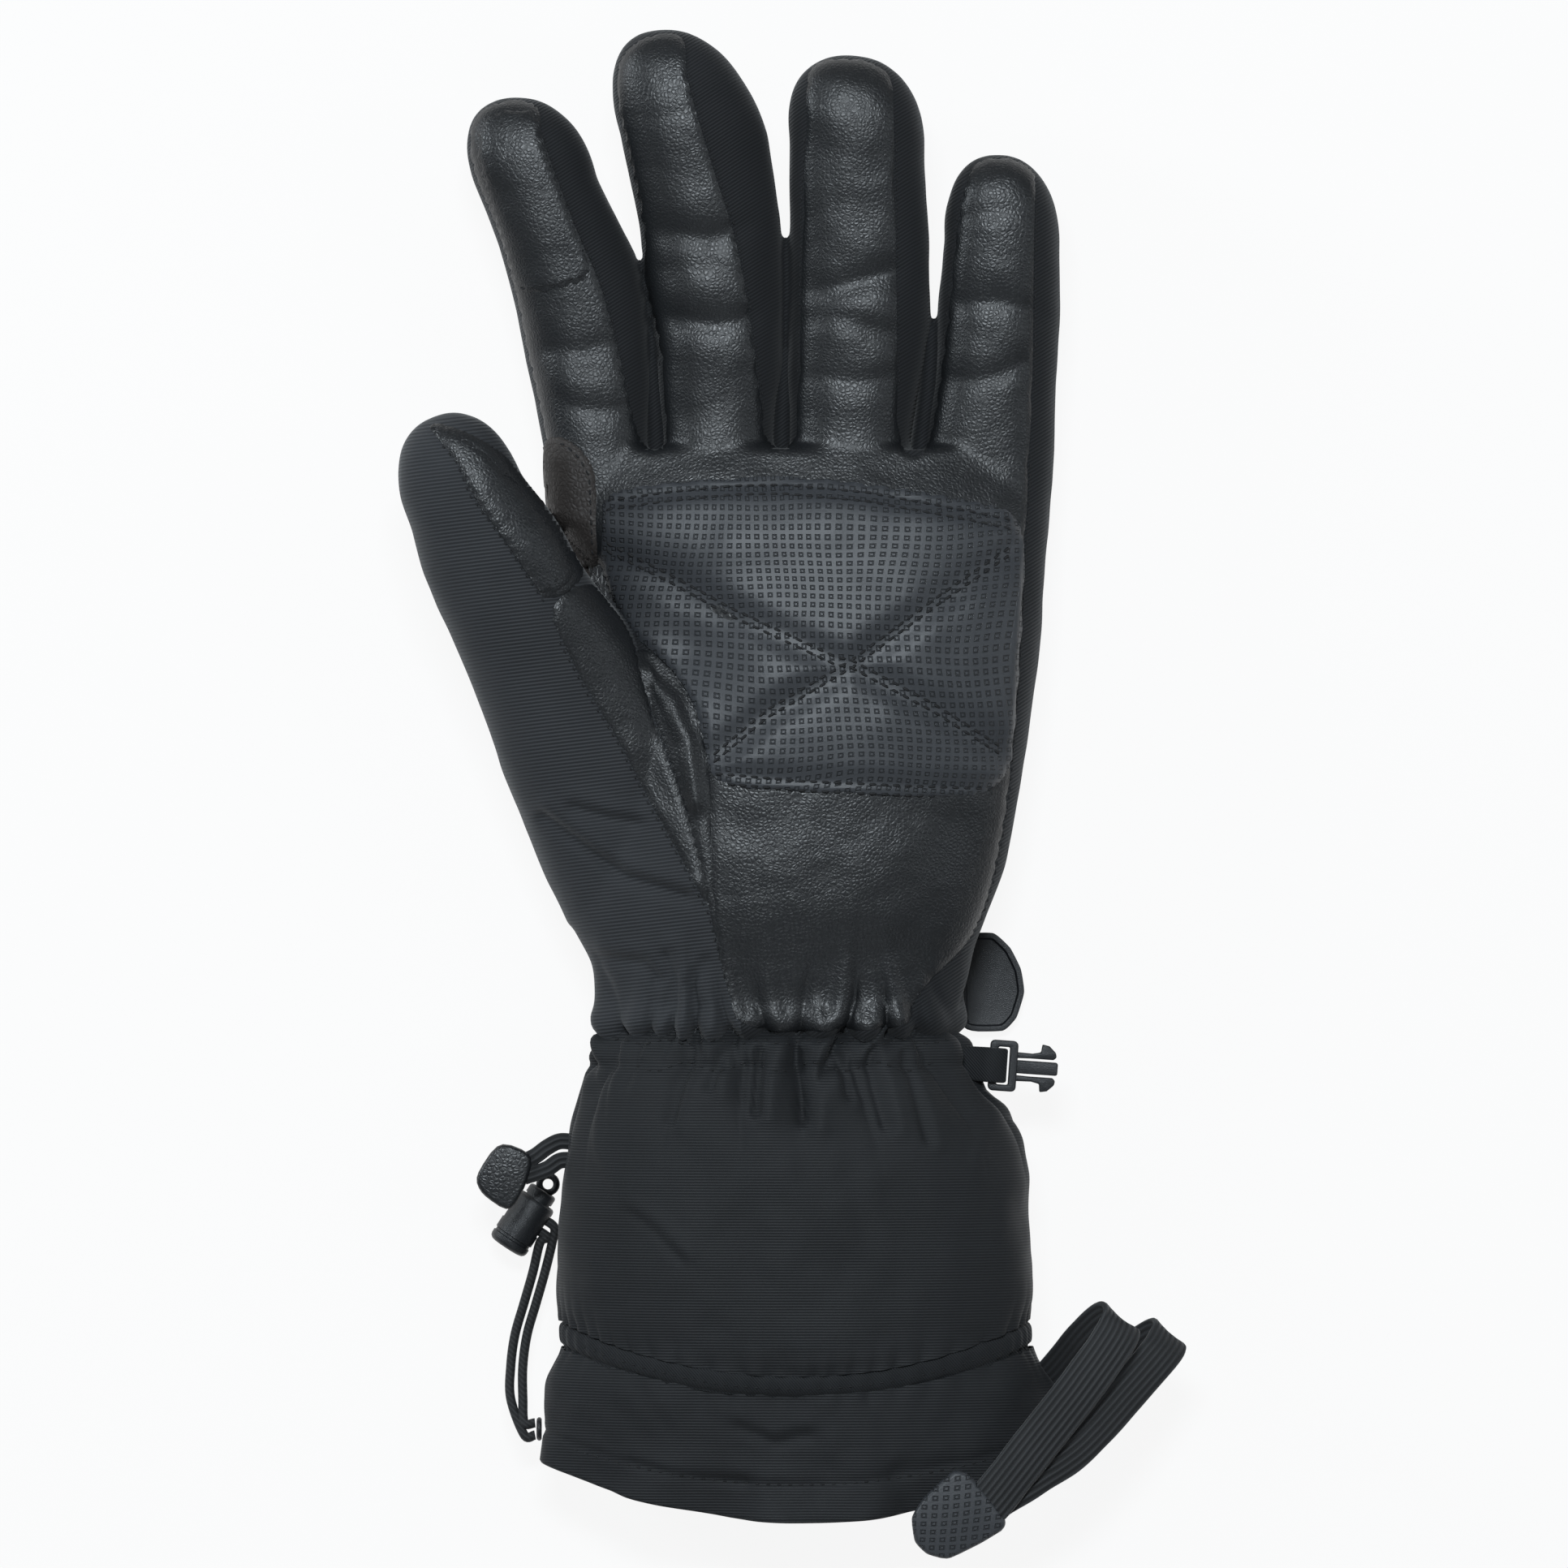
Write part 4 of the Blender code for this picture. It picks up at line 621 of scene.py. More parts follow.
# Leather panels. Each is cut to its outline from goat leather, laid on the softshell from above and sewn down
# along its turned edge.
def inside_of(points, outline):
    found = np.zeros(len(points), bool)
    for (ax, ay), (bx, by) in zip(outline, [*outline[1:], outline[0]]):
        if ay == by:
            continue
        crosses = (ay > points[:, 1]) != (by > points[:, 1])
        found ^= crosses & (points[:, 0] < (bx - ax) * (points[:, 1] - ay) / (by - ay) + ax)
    return found


def nearest_on(points, line, closed=True):
    """The nearest point of the outline to each point, and how far it is."""
    best = np.full(len(points), 1e9)
    spot = points.copy()
    ends = [*line[1:], line[0]] if closed else line[1:]
    for a, b in zip(line, ends):
        a, b = np.array(a, float), np.array(b, float)
        ab = b - a
        t = np.clip((points - a) @ ab / max(ab @ ab, 1e-9), 0, 1)
        on = a + t[:, None] * ab
        away = np.linalg.norm(points - on, axis=1)
        near = away < best
        best[near], spot[near] = away[near], on[near]
    return spot, best


def rounded(outline, times=2):
    """The outline with its corners cut again and again, so that it runs smoothly."""
    points = [np.array(p, float) for p in outline]
    for _ in range(times):
        sides = zip(points, [*points[1:], points[0]])
        points = [p for a, b in sides for p in (a * 0.75 + b * 0.25, a * 0.25 + b * 0.75)]
    return [tuple(p) for p in points]


def cut_cloth(outline, step):
    """A fine square net inside the outline whose rim points are drawn onto the outline."""
    corners = np.array(outline)
    low, high = corners.min(axis=0) - step, corners.max(axis=0) + step
    across, along = (np.ceil((high - low) / step)).astype(int)
    ys, xs = np.mgrid[0:along + 1, 0:across + 1]
    net = np.stack([low[0] + xs.ravel() * step, low[1] + ys.ravel() * step], axis=1)
    wide = across + 1
    starts = [j * wide + i for j in range(along) for i in range(across)]
    cells = np.array([(k, k + 1, k + wide + 1, k + wide) for k in starts])
    cells = cells[inside_of(net[cells].mean(axis=1), outline)]
    used, cells = np.unique(cells, return_inverse=True)
    cells = cells.reshape(-1, 4)
    net = net[used]
    rim = np.bincount(cells.ravel(), minlength=len(net)) < 4
    spot, away = nearest_on(net, outline)
    close = rim & (away < step * 1.3)
    net[close] = spot[close]
    return net, cells, away


ABOVE_ALL = 90.0


def met_from_above(skin_tree, x, y):
    """Where a plumb line meets the skin, and the skin's normal there."""
    return skin_tree.ray_cast(Vector((x, y, ABOVE_ALL)), Vector((0, 0, -1)))[:2]


def laid(net, skin_tree, lift):
    """The net dropped onto the skin, each point lifted along the skin's normal."""
    points, hit = np.zeros((len(net), 3)), np.zeros(len(net), bool)
    for i, (x, y) in enumerate(net):
        spot, normal = met_from_above(skin_tree, x, y)
        if spot is not None and normal.z > 0.03:
            points[i], hit[i] = spot + normal * lift[i], True
    return points, hit


def kept_on(outline, skin_tree, steep):
    """The outline drawn in wherever it would run off the side of the skin that is seen."""
    dense = []
    for a, b in zip(outline, [*outline[1:], outline[0]]):
        a, b = np.array(a), np.array(b)
        count = max(1, int(np.linalg.norm(b - a) / 1.2))
        dense += [a + (b - a) * k / count for k in range(count)]
    dense = np.array(dense)
    ahead = np.roll(dense, -1, axis=0) - np.roll(dense, 1, axis=0)
    inward = np.stack([-ahead[:, 1], ahead[:, 0]], axis=1)
    inward /= np.maximum(np.linalg.norm(inward, axis=1), 1e-9)[:, None]
    x, y = dense.T
    if np.sum(x * np.roll(y, -1) - np.roll(x, -1) * y) < 0:
        inward = -inward
    drawn = np.zeros(len(dense))
    for i, (point, way) in enumerate(zip(dense, inward)):
        for step in range(30):
            spot, normal = met_from_above(skin_tree, *(point + way * step * 0.25))
            if spot is not None and normal.z > steep and spot.z > 4.0:
                drawn[i] = step * 0.25
                break
    drawn = np.max([np.roll(drawn, k) for k in (-1, 0, 1)], axis=0)
    drawn = np.mean([np.roll(drawn, k) for k in (-2, -1, 0, 1, 2)], axis=0)
    return [tuple(p) for p in dense + inward * drawn[:, None]]


def spanned(points, hit):
    """Points that miss the skin hang from the nearest laid point, lower with every step away from it."""
    for i in np.flatnonzero(~hit):
        apart = np.linalg.norm(points[hit, :2] - points[i, :2], axis=1)
        points[i, 2] = points[hit][apart.argmin(), 2] - 0.35 * apart.min()
    return points


def panel_mesh(name, outline, skin_tree, step=0.8, lift=0.55, edge=1.3, material=None, relief=None,
               steep=0.33, spans=False):
    """A panel with a turned edge; one that spans also covers a gap between two parts of the skin."""
    outline = rounded(outline) if spans else kept_on(rounded(outline), skin_tree, steep)
    net, cells, away = cut_cloth(outline, step)
    part = np.clip(away / edge, 0, 1)
    raise_by = -0.3 + (lift + 0.3) * np.sqrt(part * (2 - part))
    if relief is not None:
        raise_by = raise_by + relief(net) * np.clip(away / (2 * edge), 0, 1)
    points, hit = laid(net, skin_tree, raise_by)
    if spans:
        points[~hit, :2] = net[~hit]
        points, hit = spanned(points, hit), np.ones(len(net), bool)
    cells = cells[hit[cells].all(axis=1)]
    used, cells = np.unique(cells, return_inverse=True)
    made = made_mesh(name, points[used] * MM, cells.reshape(-1, 4), material or goat)
    flat = made.data.uv_layers.new(name="flat")
    place = net[used][[loop.vertex_index for loop in made.data.loops]]
    flat.data.foreach_set("uv", (place * MM).ravel())
    return made


PALM_OUTLINE = [(-13.0, -52.6), (-14.8, -44.0), (-17.0, -35.5), (-18.9, -25.0), (-18.9, -2.5),
                (-20.0, 11.2), (-22.1, 19.3), (-26.1, 25.6), (-31.0, 30.4), (-35.0, 33.5), (-39.5, 42.5),
                (-43.0, 51.0), (-51.0, 57.5), (-55.0, 66.0), (-55.2, 78.7), (-57.6, 86.8), (-60.9, 97.9),
                (-63.2, 109.6), (-67.4, 123.8), (-71.0, 135.0), (-73.0, 143.5), (-72.4, 148.0),
                (-69.0, 151.6), (-62.5, 152.9), (-58.6, 152.2), (-56.6, 150.2), (-56.2, 144.4),
                (-53.1, 135.7), (-48.2, 122.8), (-44.1, 113.9), (-41.9, 107.1), (-39.6, 97.9),
                (-37.1, 86.8), (-35.5, 79.2), (-31.8, 76.4), (-29.6, 78.1), (-29.0, 91.6), (-30.8, 101.0),
                (-32.9, 110.3), (-34.6, 119.5), (-36.4, 135.0), (-39.0, 147.4), (-39.8, 158.5),
                (-38.2, 162.6), (-34.5, 165.9), (-29.5, 167.3), (-24.6, 166.6), (-24.5, 158.6),
                (-22.9, 151.7), (-17.8, 135.0), (-14.4, 125.1), (-11.7, 113.4), (-9.7, 99.7),
                (-7.6, 81.7), (-3.5, 78.6), (-0.3, 82.1), (0.7, 92.2), (1.1, 108.7), (1.4, 128.7),
                (2.3, 146.7), (1.9, 154.1), (2.9, 160.2), (7.0, 161.7), (11.5, 162.0), (16.5, 160.9),
                (21.0, 157.7), (21.1, 148.7), (21.6, 128.7), (21.8, 108.7), (22.1, 88.7), (22.4, 76.7),
                (25.8, 73.6), (29.6, 76.7), (32.0, 92.2), (34.0, 108.7), (35.1, 122.0), (36.7, 132.1),
                (38.3, 137.8), (41.0, 139.7), (44.5, 140.4), (49.0, 139.4), (53.0, 136.4), (52.2, 131.4),
                (52.0, 108.7), (52.0, 88.7), (51.1, 75.4), (50.8, 64.8), (50.4, 59.9), (49.3, 39.1),
                (48.2, 21.1), (46.4, -0.5), (45.0, -9.4), (42.8, -20.3), (39.4, -30.1), (36.0, -34.7),
                (29.2, -41.0), (25.4, -46.0), (24.4, -52.6)]


def soft_wrinkles(net):
    """Fine cross creases that a worn leather panel keeps between its big ones."""
    points = np.column_stack([net, np.zeros(len(net))])
    return 0.07 * hills(points, 3.4, 5.5, (1.4, 0.8, 1)) + 0.22 * hills(points, 9.0, 2.2, (1.2, 0.9, 1))


front = panel_mesh("front", PALM_OUTLINE, hand_skin, relief=soft_wrinkles)
LEATHER_NODES = {finger: [f"{finger}_front"] for finger in FINGERS}
LEATHER_NODES["palm"] = ["palm_leather"]
shared_out(front, "leather", goat, "leather", LEATHER_NODES)

# Thumb's leather: its front, the leather below its cross seam, and the loose gusset between thumb and palm.
# All three are goat leather, sewn to the thumb's twill and, on the inner side, to the palm's edge.
THUMB_FRONT = [(-81.5, 81.3), (-77.6, 76.3), (-74.0, 72.2), (-71.1, 65.0), (-63.9, 55.3), (-58.1, 46.4),
               (-54.5, 41.2), (-45.6, 47.4), (-47.7, 53.0), (-53.0, 61.2), (-56.4, 66.0), (-60.4, 70.6),
               (-65.0, 74.8), (-71.6, 78.6), (-77.5, 80.6)]
THUMB_LOWER = [(-54.7, 41.0), (-51.8, 33.7), (-45.4, 21.6), (-38.9, 11.2), (-31.7, -3.2), (-26.1, -13.0),
               (-18.9, -26.6), (-19.4, -21.0), (-24.0, -5.0), (-28.6, 8.0), (-32.6, 19.0), (-34.9, 29.2),
               (-36.8, 35.2), (-42.0, 43.6), (-45.6, 47.2)]
GUSSET = [(-19.2, -26.0), (-15.2, -44.2), (-13.9, -45.0), (-18.0, -25.0), (-18.9, -2.5), (-20.0, 11.2),
          (-22.1, 19.3), (-26.1, 25.6), (-31.0, 30.4), (-35.4, 32.4), (-35.6, 28.0), (-32.2, 19.0),
          (-28.4, 8.0), (-23.8, -5.0)]


def bunched(net):
    """The gusset is loose and bunches into long folds along the palm's edge."""
    points = np.column_stack([net, np.zeros(len(net))])
    folds = along_line(points, [(-33.5, 25.5), (-28.0, 20.0), (-23.8, 11.0), (-22.0, -2.0)], 2.3)
    return 1.7 * folds + 0.35 * hills(points, 6.0, 7.7, (0.6, 1.5, 1))


thumb_front = panel_mesh("thumb_front", THUMB_FRONT, whole_skin, steep=0.12, relief=soft_wrinkles)
shared_out(thumb_front, "leather", goat, "leather", {"thumb": ["thumb_front"]})
lower = panel_mesh("thumb_lower_leather", THUMB_LOWER, whole_skin, step=0.7, steep=0.12, relief=soft_wrinkles)
finished(lower, "leather", "thumb")
gusset = panel_mesh("thumb_gusset_leather", GUSSET, whole_skin, step=0.7, steep=0.12, relief=bunched)
finished(gusset, "leather", "palm", "thumb_gusset")

# Touch tips: a second layer of goat leather over the ends of the index finger and of the thumb. Each cap
# stands a little proud of the leather under it and is sewn down along its cross seam.
INDEX_CAP = [(-61.2, 109.9), (-65.2, 123.8), (-68.8, 135.0), (-70.4, 142.8), (-69.6, 146.6), (-67.0, 149.2),
             (-62.5, 150.4), (-58.8, 150.2), (-57.0, 148.6), (-56.6, 144.4), (-53.5, 135.7), (-48.6, 122.8),
             (-44.5, 113.6), (-53.1, 110.9)]
index_cap = panel_mesh("index_touch_cap", INDEX_CAP, hand_skin, lift=0.95, edge=0.7, relief=soft_wrinkles)
finished(index_cap, "leather", "index", "index_touch_tip")
THUMB_CAP = [(-81.2, 80.9), (-77.4, 76.2), (-73.8, 72.2), (-71.0, 65.2), (-64.2, 55.8), (-58.5, 47.2),
             (-55.1, 42.4), (-48.9, 47.3), (-50.0, 51.9), (-55.2, 59.6), (-58.6, 64.0), (-62.7, 68.4),
             (-66.9, 72.8), (-72.6, 77.0), (-77.5, 80.2)]
thumb_cap = panel_mesh("thumb_touch_cap", THUMB_CAP, whole_skin, lift=0.9, edge=0.7, steep=0.12,
                       relief=soft_wrinkles)
finished(thumb_cap, "leather", "thumb", "thumb_touch_tip")

# Crotch patch: thick brown leather sewn over the palm where the thumb branches off and a glove wears first.
# Its edge is turned under, and it spans the gap between the thumb and the palm.
CROTCH_PATCH = [(-43.8, 45.0), (-43.7, 51.3), (-44.1, 61.7), (-44.3, 70.6), (-46.8, 75.2), (-50.9, 78.6),
                (-54.0, 79.0), (-55.9, 76.4), (-55.4, 66.0), (-54.4, 60.2), (-52.8, 54.0), (-49.6, 47.0),
                (-46.0, 42.0)]
patch = panel_mesh("crotch_patch", CROTCH_PATCH, hand_skin, step=0.6, lift=1.35, edge=0.9, material=brown,
                   relief=soft_wrinkles, spans=True)
finished(patch, "brown_leather", "palm", "thumb_crotch_patch")


# Grip patch: leather embossed with rows of small squares, padded and quilted down by a double row of stitches
# along its top and bottom and by two double rows that cross.
GRIP_OUTLINE = [(-18.6, 1.6), (-20.3, 11.5), (-22.4, 19.5), (-26.4, 26.0), (-31.5, 31.0), (-36.0, 34.8),
                (-40.0, 42.5), (-42.6, 50.0), (-43.0, 57.0), (-43.1, 66.2), (-28.6, 68.2), (-13.9, 69.3),
                (0.9, 69.6), (22.9, 66.9), (37.0, 64.4), (50.4, 61.8), (49.2, 39.1), (48.0, 21.1),
                (46.2, -1.0), (22.0, -0.6), (-3.0, 0.4)]
CROSSED = [[(-42.5, 54.7), (-28.6, 47.7), (-13.9, 39.6), (8.1, 29.3), (12.2, 28.3), (30.2, 18.7),
            (47.0, 8.1)], [(-18.7, 7.4), (-6.5, 17.6), (12.2, 28.6), (30.2, 41.9), (49.2, 55.1)]]
TOP_ROW = [(-42.6, 64.3), (-28.6, 66.2), (-13.9, 67.6), (-3.0, 67.8), (15.5, 66.1), (37.6, 62.1),
           (49.8, 59.7)]
BOTTOM_ROW = [(-18.4, 4.3), (0.9, 2.6), (22.9, 1.6), (46.0, 0.8)]


def shifted(line, off):
    return [(x, y + off) for x, y in line]


def quilted(net):
    """The padding swells between the stitch rows and leaves the hollow of the palm."""
    points = np.column_stack([net, np.zeros(len(net))])
    down = np.zeros(len(net))
    for line in CROSSED:
        down = np.maximum(down, along_line(points, line, 3.0))
        down = np.maximum(down, along_line(points, shifted(line, -1.0), 3.0))
    for line in (TOP_ROW, BOTTOM_ROW):
        down = np.maximum(down, along_line(points, line, 2.4))
    swell = 1.25 * (1 - down) + 0.3 * hills(points, 12.0, 8.8)
    swell -= 1.3 * np.exp(-((net[:, 0] + 22.0) / 9.0) ** 2 - ((net[:, 1] - 33.0) / 8.0) ** 2)
    return swell


squares, given, out = group("embossed_squares", {"Vector": None, "Pitch": 0.0021, "Size": 0.21},
                            ("Height", "Shade"))
wavy = noise_node(squares, given["Vector"], 26.0, 0.5)
lean = node(squares, "VectorMath", {0: wavy.outputs["Color"], 1: (0.011, 0.011, 0.0), 2: given["Vector"]},
            operation="MULTIPLY_ADD")
axes = node(squares, "SeparateXYZ", {0: lean.outputs[0]})
away = []
for axis in range(2):
    cell = math_node(squares, "FRACT", math_node(squares, "DIVIDE", axes.outputs[axis], given["Pitch"]))
    away.append(math_node(squares, "ABSOLUTE", math_node(squares, "SUBTRACT", cell, 0.5)))
far = math_node(squares, "MAXIMUM", *away)
rim = math_node(squares, "ABSOLUTE", math_node(squares, "SUBTRACT", far, given["Size"]))
groove = between_node(squares, rim, 0.015, 0.085)
raised = between_node(squares, far, 0.10, 0.20, 0.15, 0.0)
dimples = noise_node(squares, given["Vector"], 1700.0, 3.0).outputs[0]
flat = math_node(squares, "ADD", math_node(squares, "MULTIPLY", groove, 0.75), raised)
squares.links.new(math_node(squares, "ADD", flat, math_node(squares, "MULTIPLY", dimples, 0.12)),
                  out["Height"])
# The grooves round each square are painted darker in colour: painted shade in the recesses, on top of their
# bump.
groove_painted_shade = between_node(squares, groove, 0.0, 1.0, 0.45, 1.0)
spots = between_node(squares, dimples, 0.2, 0.8, 0.7, 1.0)
squares.links.new(math_node(squares, "MULTIPLY", groove_painted_shade, spots), out["Shade"])
embossed = surface("embossed_leather", squares, (0.008, 0.009, 0.010), (0.050, 0.054, 0.061), (0.46, 0.62),
                   0.00026, uv=True)
grip = panel_mesh("palm_grip", GRIP_OUTLINE, hand_skin, step=0.7, lift=1.0, edge=0.8, material=embossed,
                  relief=quilted)
finished(grip, "leather", "palm", "palm_grip_patch")


# Stitches: short loops of black sewing thread, sunk into the leather at both ends. They run along the seams,
# and as double rows where the grip patch is quilted.
def evenly(line, pitch):
    """Points along a line at an even pitch with the line's direction there."""
    ends = [np.array(p, float) for p in line]
    lengths = [np.linalg.norm(b - a) for a, b in zip(ends, ends[1:])]
    found = []
    for k in range(int(sum(lengths) / pitch)):
        want = (k + 0.5) * pitch
        for a, b, size in zip(ends, ends[1:], lengths):
            if want <= size:
                found.append((a + (b - a) * want / size, (b - a) / size))
                break
            want -= size
    return found


def drop_on(trees, x, y):
    """The highest of the skins at a place seen from above."""
    best = None
    for skin_tree in trees:
        spot, normal = met_from_above(skin_tree, x, y)
        if spot is not None and normal.z > 0.05 and (best is None or spot.z > best[0].z):
            best = (spot, normal)
    return best


# Outlines of a stitch: (place along its length, share of its radius, height over the leather in millimetres).
STITCH = ((-0.5, 0.45, -0.22), (-0.25, 1.0, 0.08), (0.25, 1.0, 0.08), (0.5, 0.45, -0.22))


def stitch_row(points, faces, line, trees, pitch=2.5, length=1.8, radius=0.26):
    """Adds a row of stitches: each a six-sided bead, thick in the middle and sunk at its ends."""
    for at, way in evenly(line, pitch):
        found = drop_on(trees, at[0], at[1])
        if found is None:
            continue
        spot, normal = found
        ahead = Vector((way[0], way[1], 0))
        ahead = (ahead - normal * ahead.dot(normal)).normalized()
        side = normal.cross(ahead)
        start = len(points)
        for share, thick, sink in STITCH:
            centre = spot + ahead * share * length + normal * sink
            for k in range(6):
                turn = k * math.pi / 3
                points.append(centre + (side * math.cos(turn) + normal * math.sin(turn)) * radius * thick)
        for i in range(3):
            for k in range(6):
                a, b = start + i * 6 + k, start + i * 6 + (k + 1) % 6
                faces.append((a, b, b + 6, a + 6))
        faces.append(tuple(start + k for k in range(5, -1, -1)))
        faces.append(tuple(start + 18 + k for k in range(6)))


def sewn(name, rows, trees, owner, **sizes):
    points, faces = [], []
    for line in rows:
        stitch_row(points, faces, line, trees, **sizes)
    made = made_mesh(name, [p * MM for p in points], faces, thread)
    finished(made, "softshell", owner)


quilt_rows = [TOP_ROW, shifted(TOP_ROW, -2.0), BOTTOM_ROW, shifted(BOTTOM_ROW, -2.0)]
for line in CROSSED:
    quilt_rows += [shifted(line, 0.7), shifted(line, -1.0)]
sewn("quilting_stitches", quilt_rows, [tree_of(grip)], "palm", radius=0.3, length=1.9, pitch=2.6)
def beside(first, last, off):
    """A stretch of the palm's outline, moved sideways onto the softshell."""
    return [(x + off, y) for x, y in PALM_OUTLINE[first:last]]


EDGE_SEAMS = {
    "index": [beside(26, 33, 0.4)],
    "middle": [[(-29.6, 92.0), (-31.4, 101.0), (-33.5, 110.3), (-35.2, 119.5), (-37.0, 135.0),
                (-39.6, 147.4)],
               [(-24.0, 158.6), (-22.4, 151.7), (-17.3, 135.0), (-13.9, 125.1), (-11.2, 113.4), (-9.2, 99.7),
                (-7.2, 84.0)]],
    "ring": [beside(56, 60, -0.5), beside(66, 70, 0.5)],
    "little": [beside(73, 77, -0.5), beside(82, 85, 0.5)],
    "thumb": [[(-77.9, 76.3), (-74.4, 72.2), (-71.5, 65.0), (-64.3, 55.3), (-58.5, 46.4), (-55.0, 41.2)]],
    "palm": [beside(85, 94, 0.5),
             [(-52.4, 33.7), (-46.0, 21.6), (-39.5, 11.2), (-32.3, -3.2), (-26.7, -13.0), (-19.5, -26.6),
              (-15.6, -42.0)],
             [(36.6, -34.5), (29.2, -41.0), (25.8, -46.0)]],
}
for owner, rows in EDGE_SEAMS.items():
    sewn(f"{owner}_seam_stitches", rows, [whole_skin], owner, radius=0.17, length=1.2, pitch=2.1)
sewn("index_cross_stitches", [[(-61.8, 111.2), (-53.1, 112.2), (-45.4, 114.6)],
                              [(-70.6, 149.0), (-66.0, 150.6), (-59.5, 150.4)]],
     [hand_skin, tree_of(index_cap)], "index", radius=0.22, length=1.5, pitch=2.2)
sewn("thumb_cross_stitches", [[(-55.2, 44.4), (-50.5, 48.4)]],
     [whole_skin, tree_of(thumb_cap)], "thumb", radius=0.22, length=1.5, pitch=2.2)
sewn("patch_stitches",
     [[(-45.1, 52.0), (-45.5, 61.7), (-45.8, 69.8), (-48.0, 73.8), (-51.2, 76.9), (-53.8, 77.2)]],
     [tree_of(patch)], "palm", radius=0.2, length=1.5, pitch=2.2)


# Fourchettes: strips of softshell sewn in between the fingers, whose folds close the gaps at the roots of the
# fingers.
WEB_SIDES = 24
WEBS = [("index_middle", "middle", [(68.0, -31.0), (82.0, -31.3), (95.0, -32.2), (104.0, -33.2)]),
        ("middle_ring", "ring", [(68.0, -3.4), (82.0, -3.2), (95.0, -2.6), (104.0, -2.3)]),
        ("ring_little", "ring", [(66.0, 26.4), (78.0, 27.8), (92.0, 29.4), (104.0, 30.0)])]
for label, owner, line in WEBS:
    rows = [(y, x, 6.0 - 1.6 * i / 3, 15.5, 17.0 - 5 * i / 3) for i, (y, x) in enumerate(line)]
    points, faces = tube_mesh([ring(row, WEB_SIDES) for row in rows_every(rows, ROW_STEP)])
    web = made_mesh(f"fourchette_{label}_fold", points * MM, faces, twill)
    bpy.ops.object.select_all(action="DESELECT")
    turned_out(web)
    finished(web, "softshell", owner)

# Cuff: nylon with a fine crosswise rib. The gauntlet is gathered onto the wrist's elastic, a taped band with
# puckered edges closes it, and the snow skirt flares out below the band with its hem turned in.
CUFF_SIDES = 420


def bowed_rings(rows, step, relief, inset=0.0):
    """Outlines of the cuff at even steps through rows (y, left, right, low, high, bow of the sides)."""
    table = [(y, (left + right) / 2, right - left, (low + high) / 2, high - low, bow)
             for y, left, right, low, high, bow in rows]
    found = []
    for y, middle, width, height, depth, bow in rows_every(table, step):
        loop = ring((y, middle, width - 2 * inset, height, depth - 2 * inset), CUFF_SIDES)
        side = (loop[:, 0] - middle) / (width / 2)
        loop[:, 1] += bow * side ** 2
        centre = np.array([middle, 0.0, height])
        out = (loop - centre) * np.array([1.0, 0.0, 1.0])
        out /= np.linalg.norm(out, axis=1)[:, None]
        if relief is not None:
            raised = relief(loop, out)
            loop = loop + out * (raised * np.clip(loop[:, 2] / 3.0, 0, 1))[:, None]
        loop[:, 2] = np.maximum(loop[:, 2], 0.05 + inset)
        found.append(loop)
    return found


def sleeve(name, rings, material):
    """A tube left open at both ends."""
    made = made_mesh(name, np.concatenate(rings) * MM, quads(len(rings), len(rings[0])), material)
    mesh_data = bmesh.new()
    mesh_data.from_mesh(made.data)
    bmesh.ops.recalc_face_normals(mesh_data, faces=mesh_data.faces)
    first = max(mesh_data.faces, key=lambda face: face.calc_center_median().z)
    if first.normal.z < 0:
        bmesh.ops.reverse_faces(mesh_data, faces=mesh_data.faces)
    mesh_data.to_mesh(made.data)
    mesh_data.free()
    made.data.shade_smooth()
    return made


FAN = [(-38.0, -20.0, 1.8), (-31.0, -14.0, 1.3), (-24.0, -30.0, 1.8), (-16.0, -16.0, 1.5), (-8.0, -26.0, 1.9),
       (1.0, -30.0, 1.7), (9.0, -18.0, 1.4), (16.0, -32.0, 2.0), (23.0, -38.0, 1.9), (30.0, -26.0, 1.6)]
DENTS = [([(-37.0, -92.0), (-31.0, -97.0), (-25.5, -102.5)], 0.8, 1.2),
         ([(40.0, -72.0), (36.5, -80.0)], 0.9, 1.6),
         ([(-46.0, -73.0), (-44.0, -84.0), (-39.0, -92.0)], 0.6, 2.0),
         ([(-30.0, -66.0), (-33.0, -82.0)], 0.5, 2.2), ([(44.0, -88.0), (42.0, -98.0)], 0.5, 2.0),
         ([(12.0, -84.0), (16.0, -97.0)], 0.35, 3.0)]


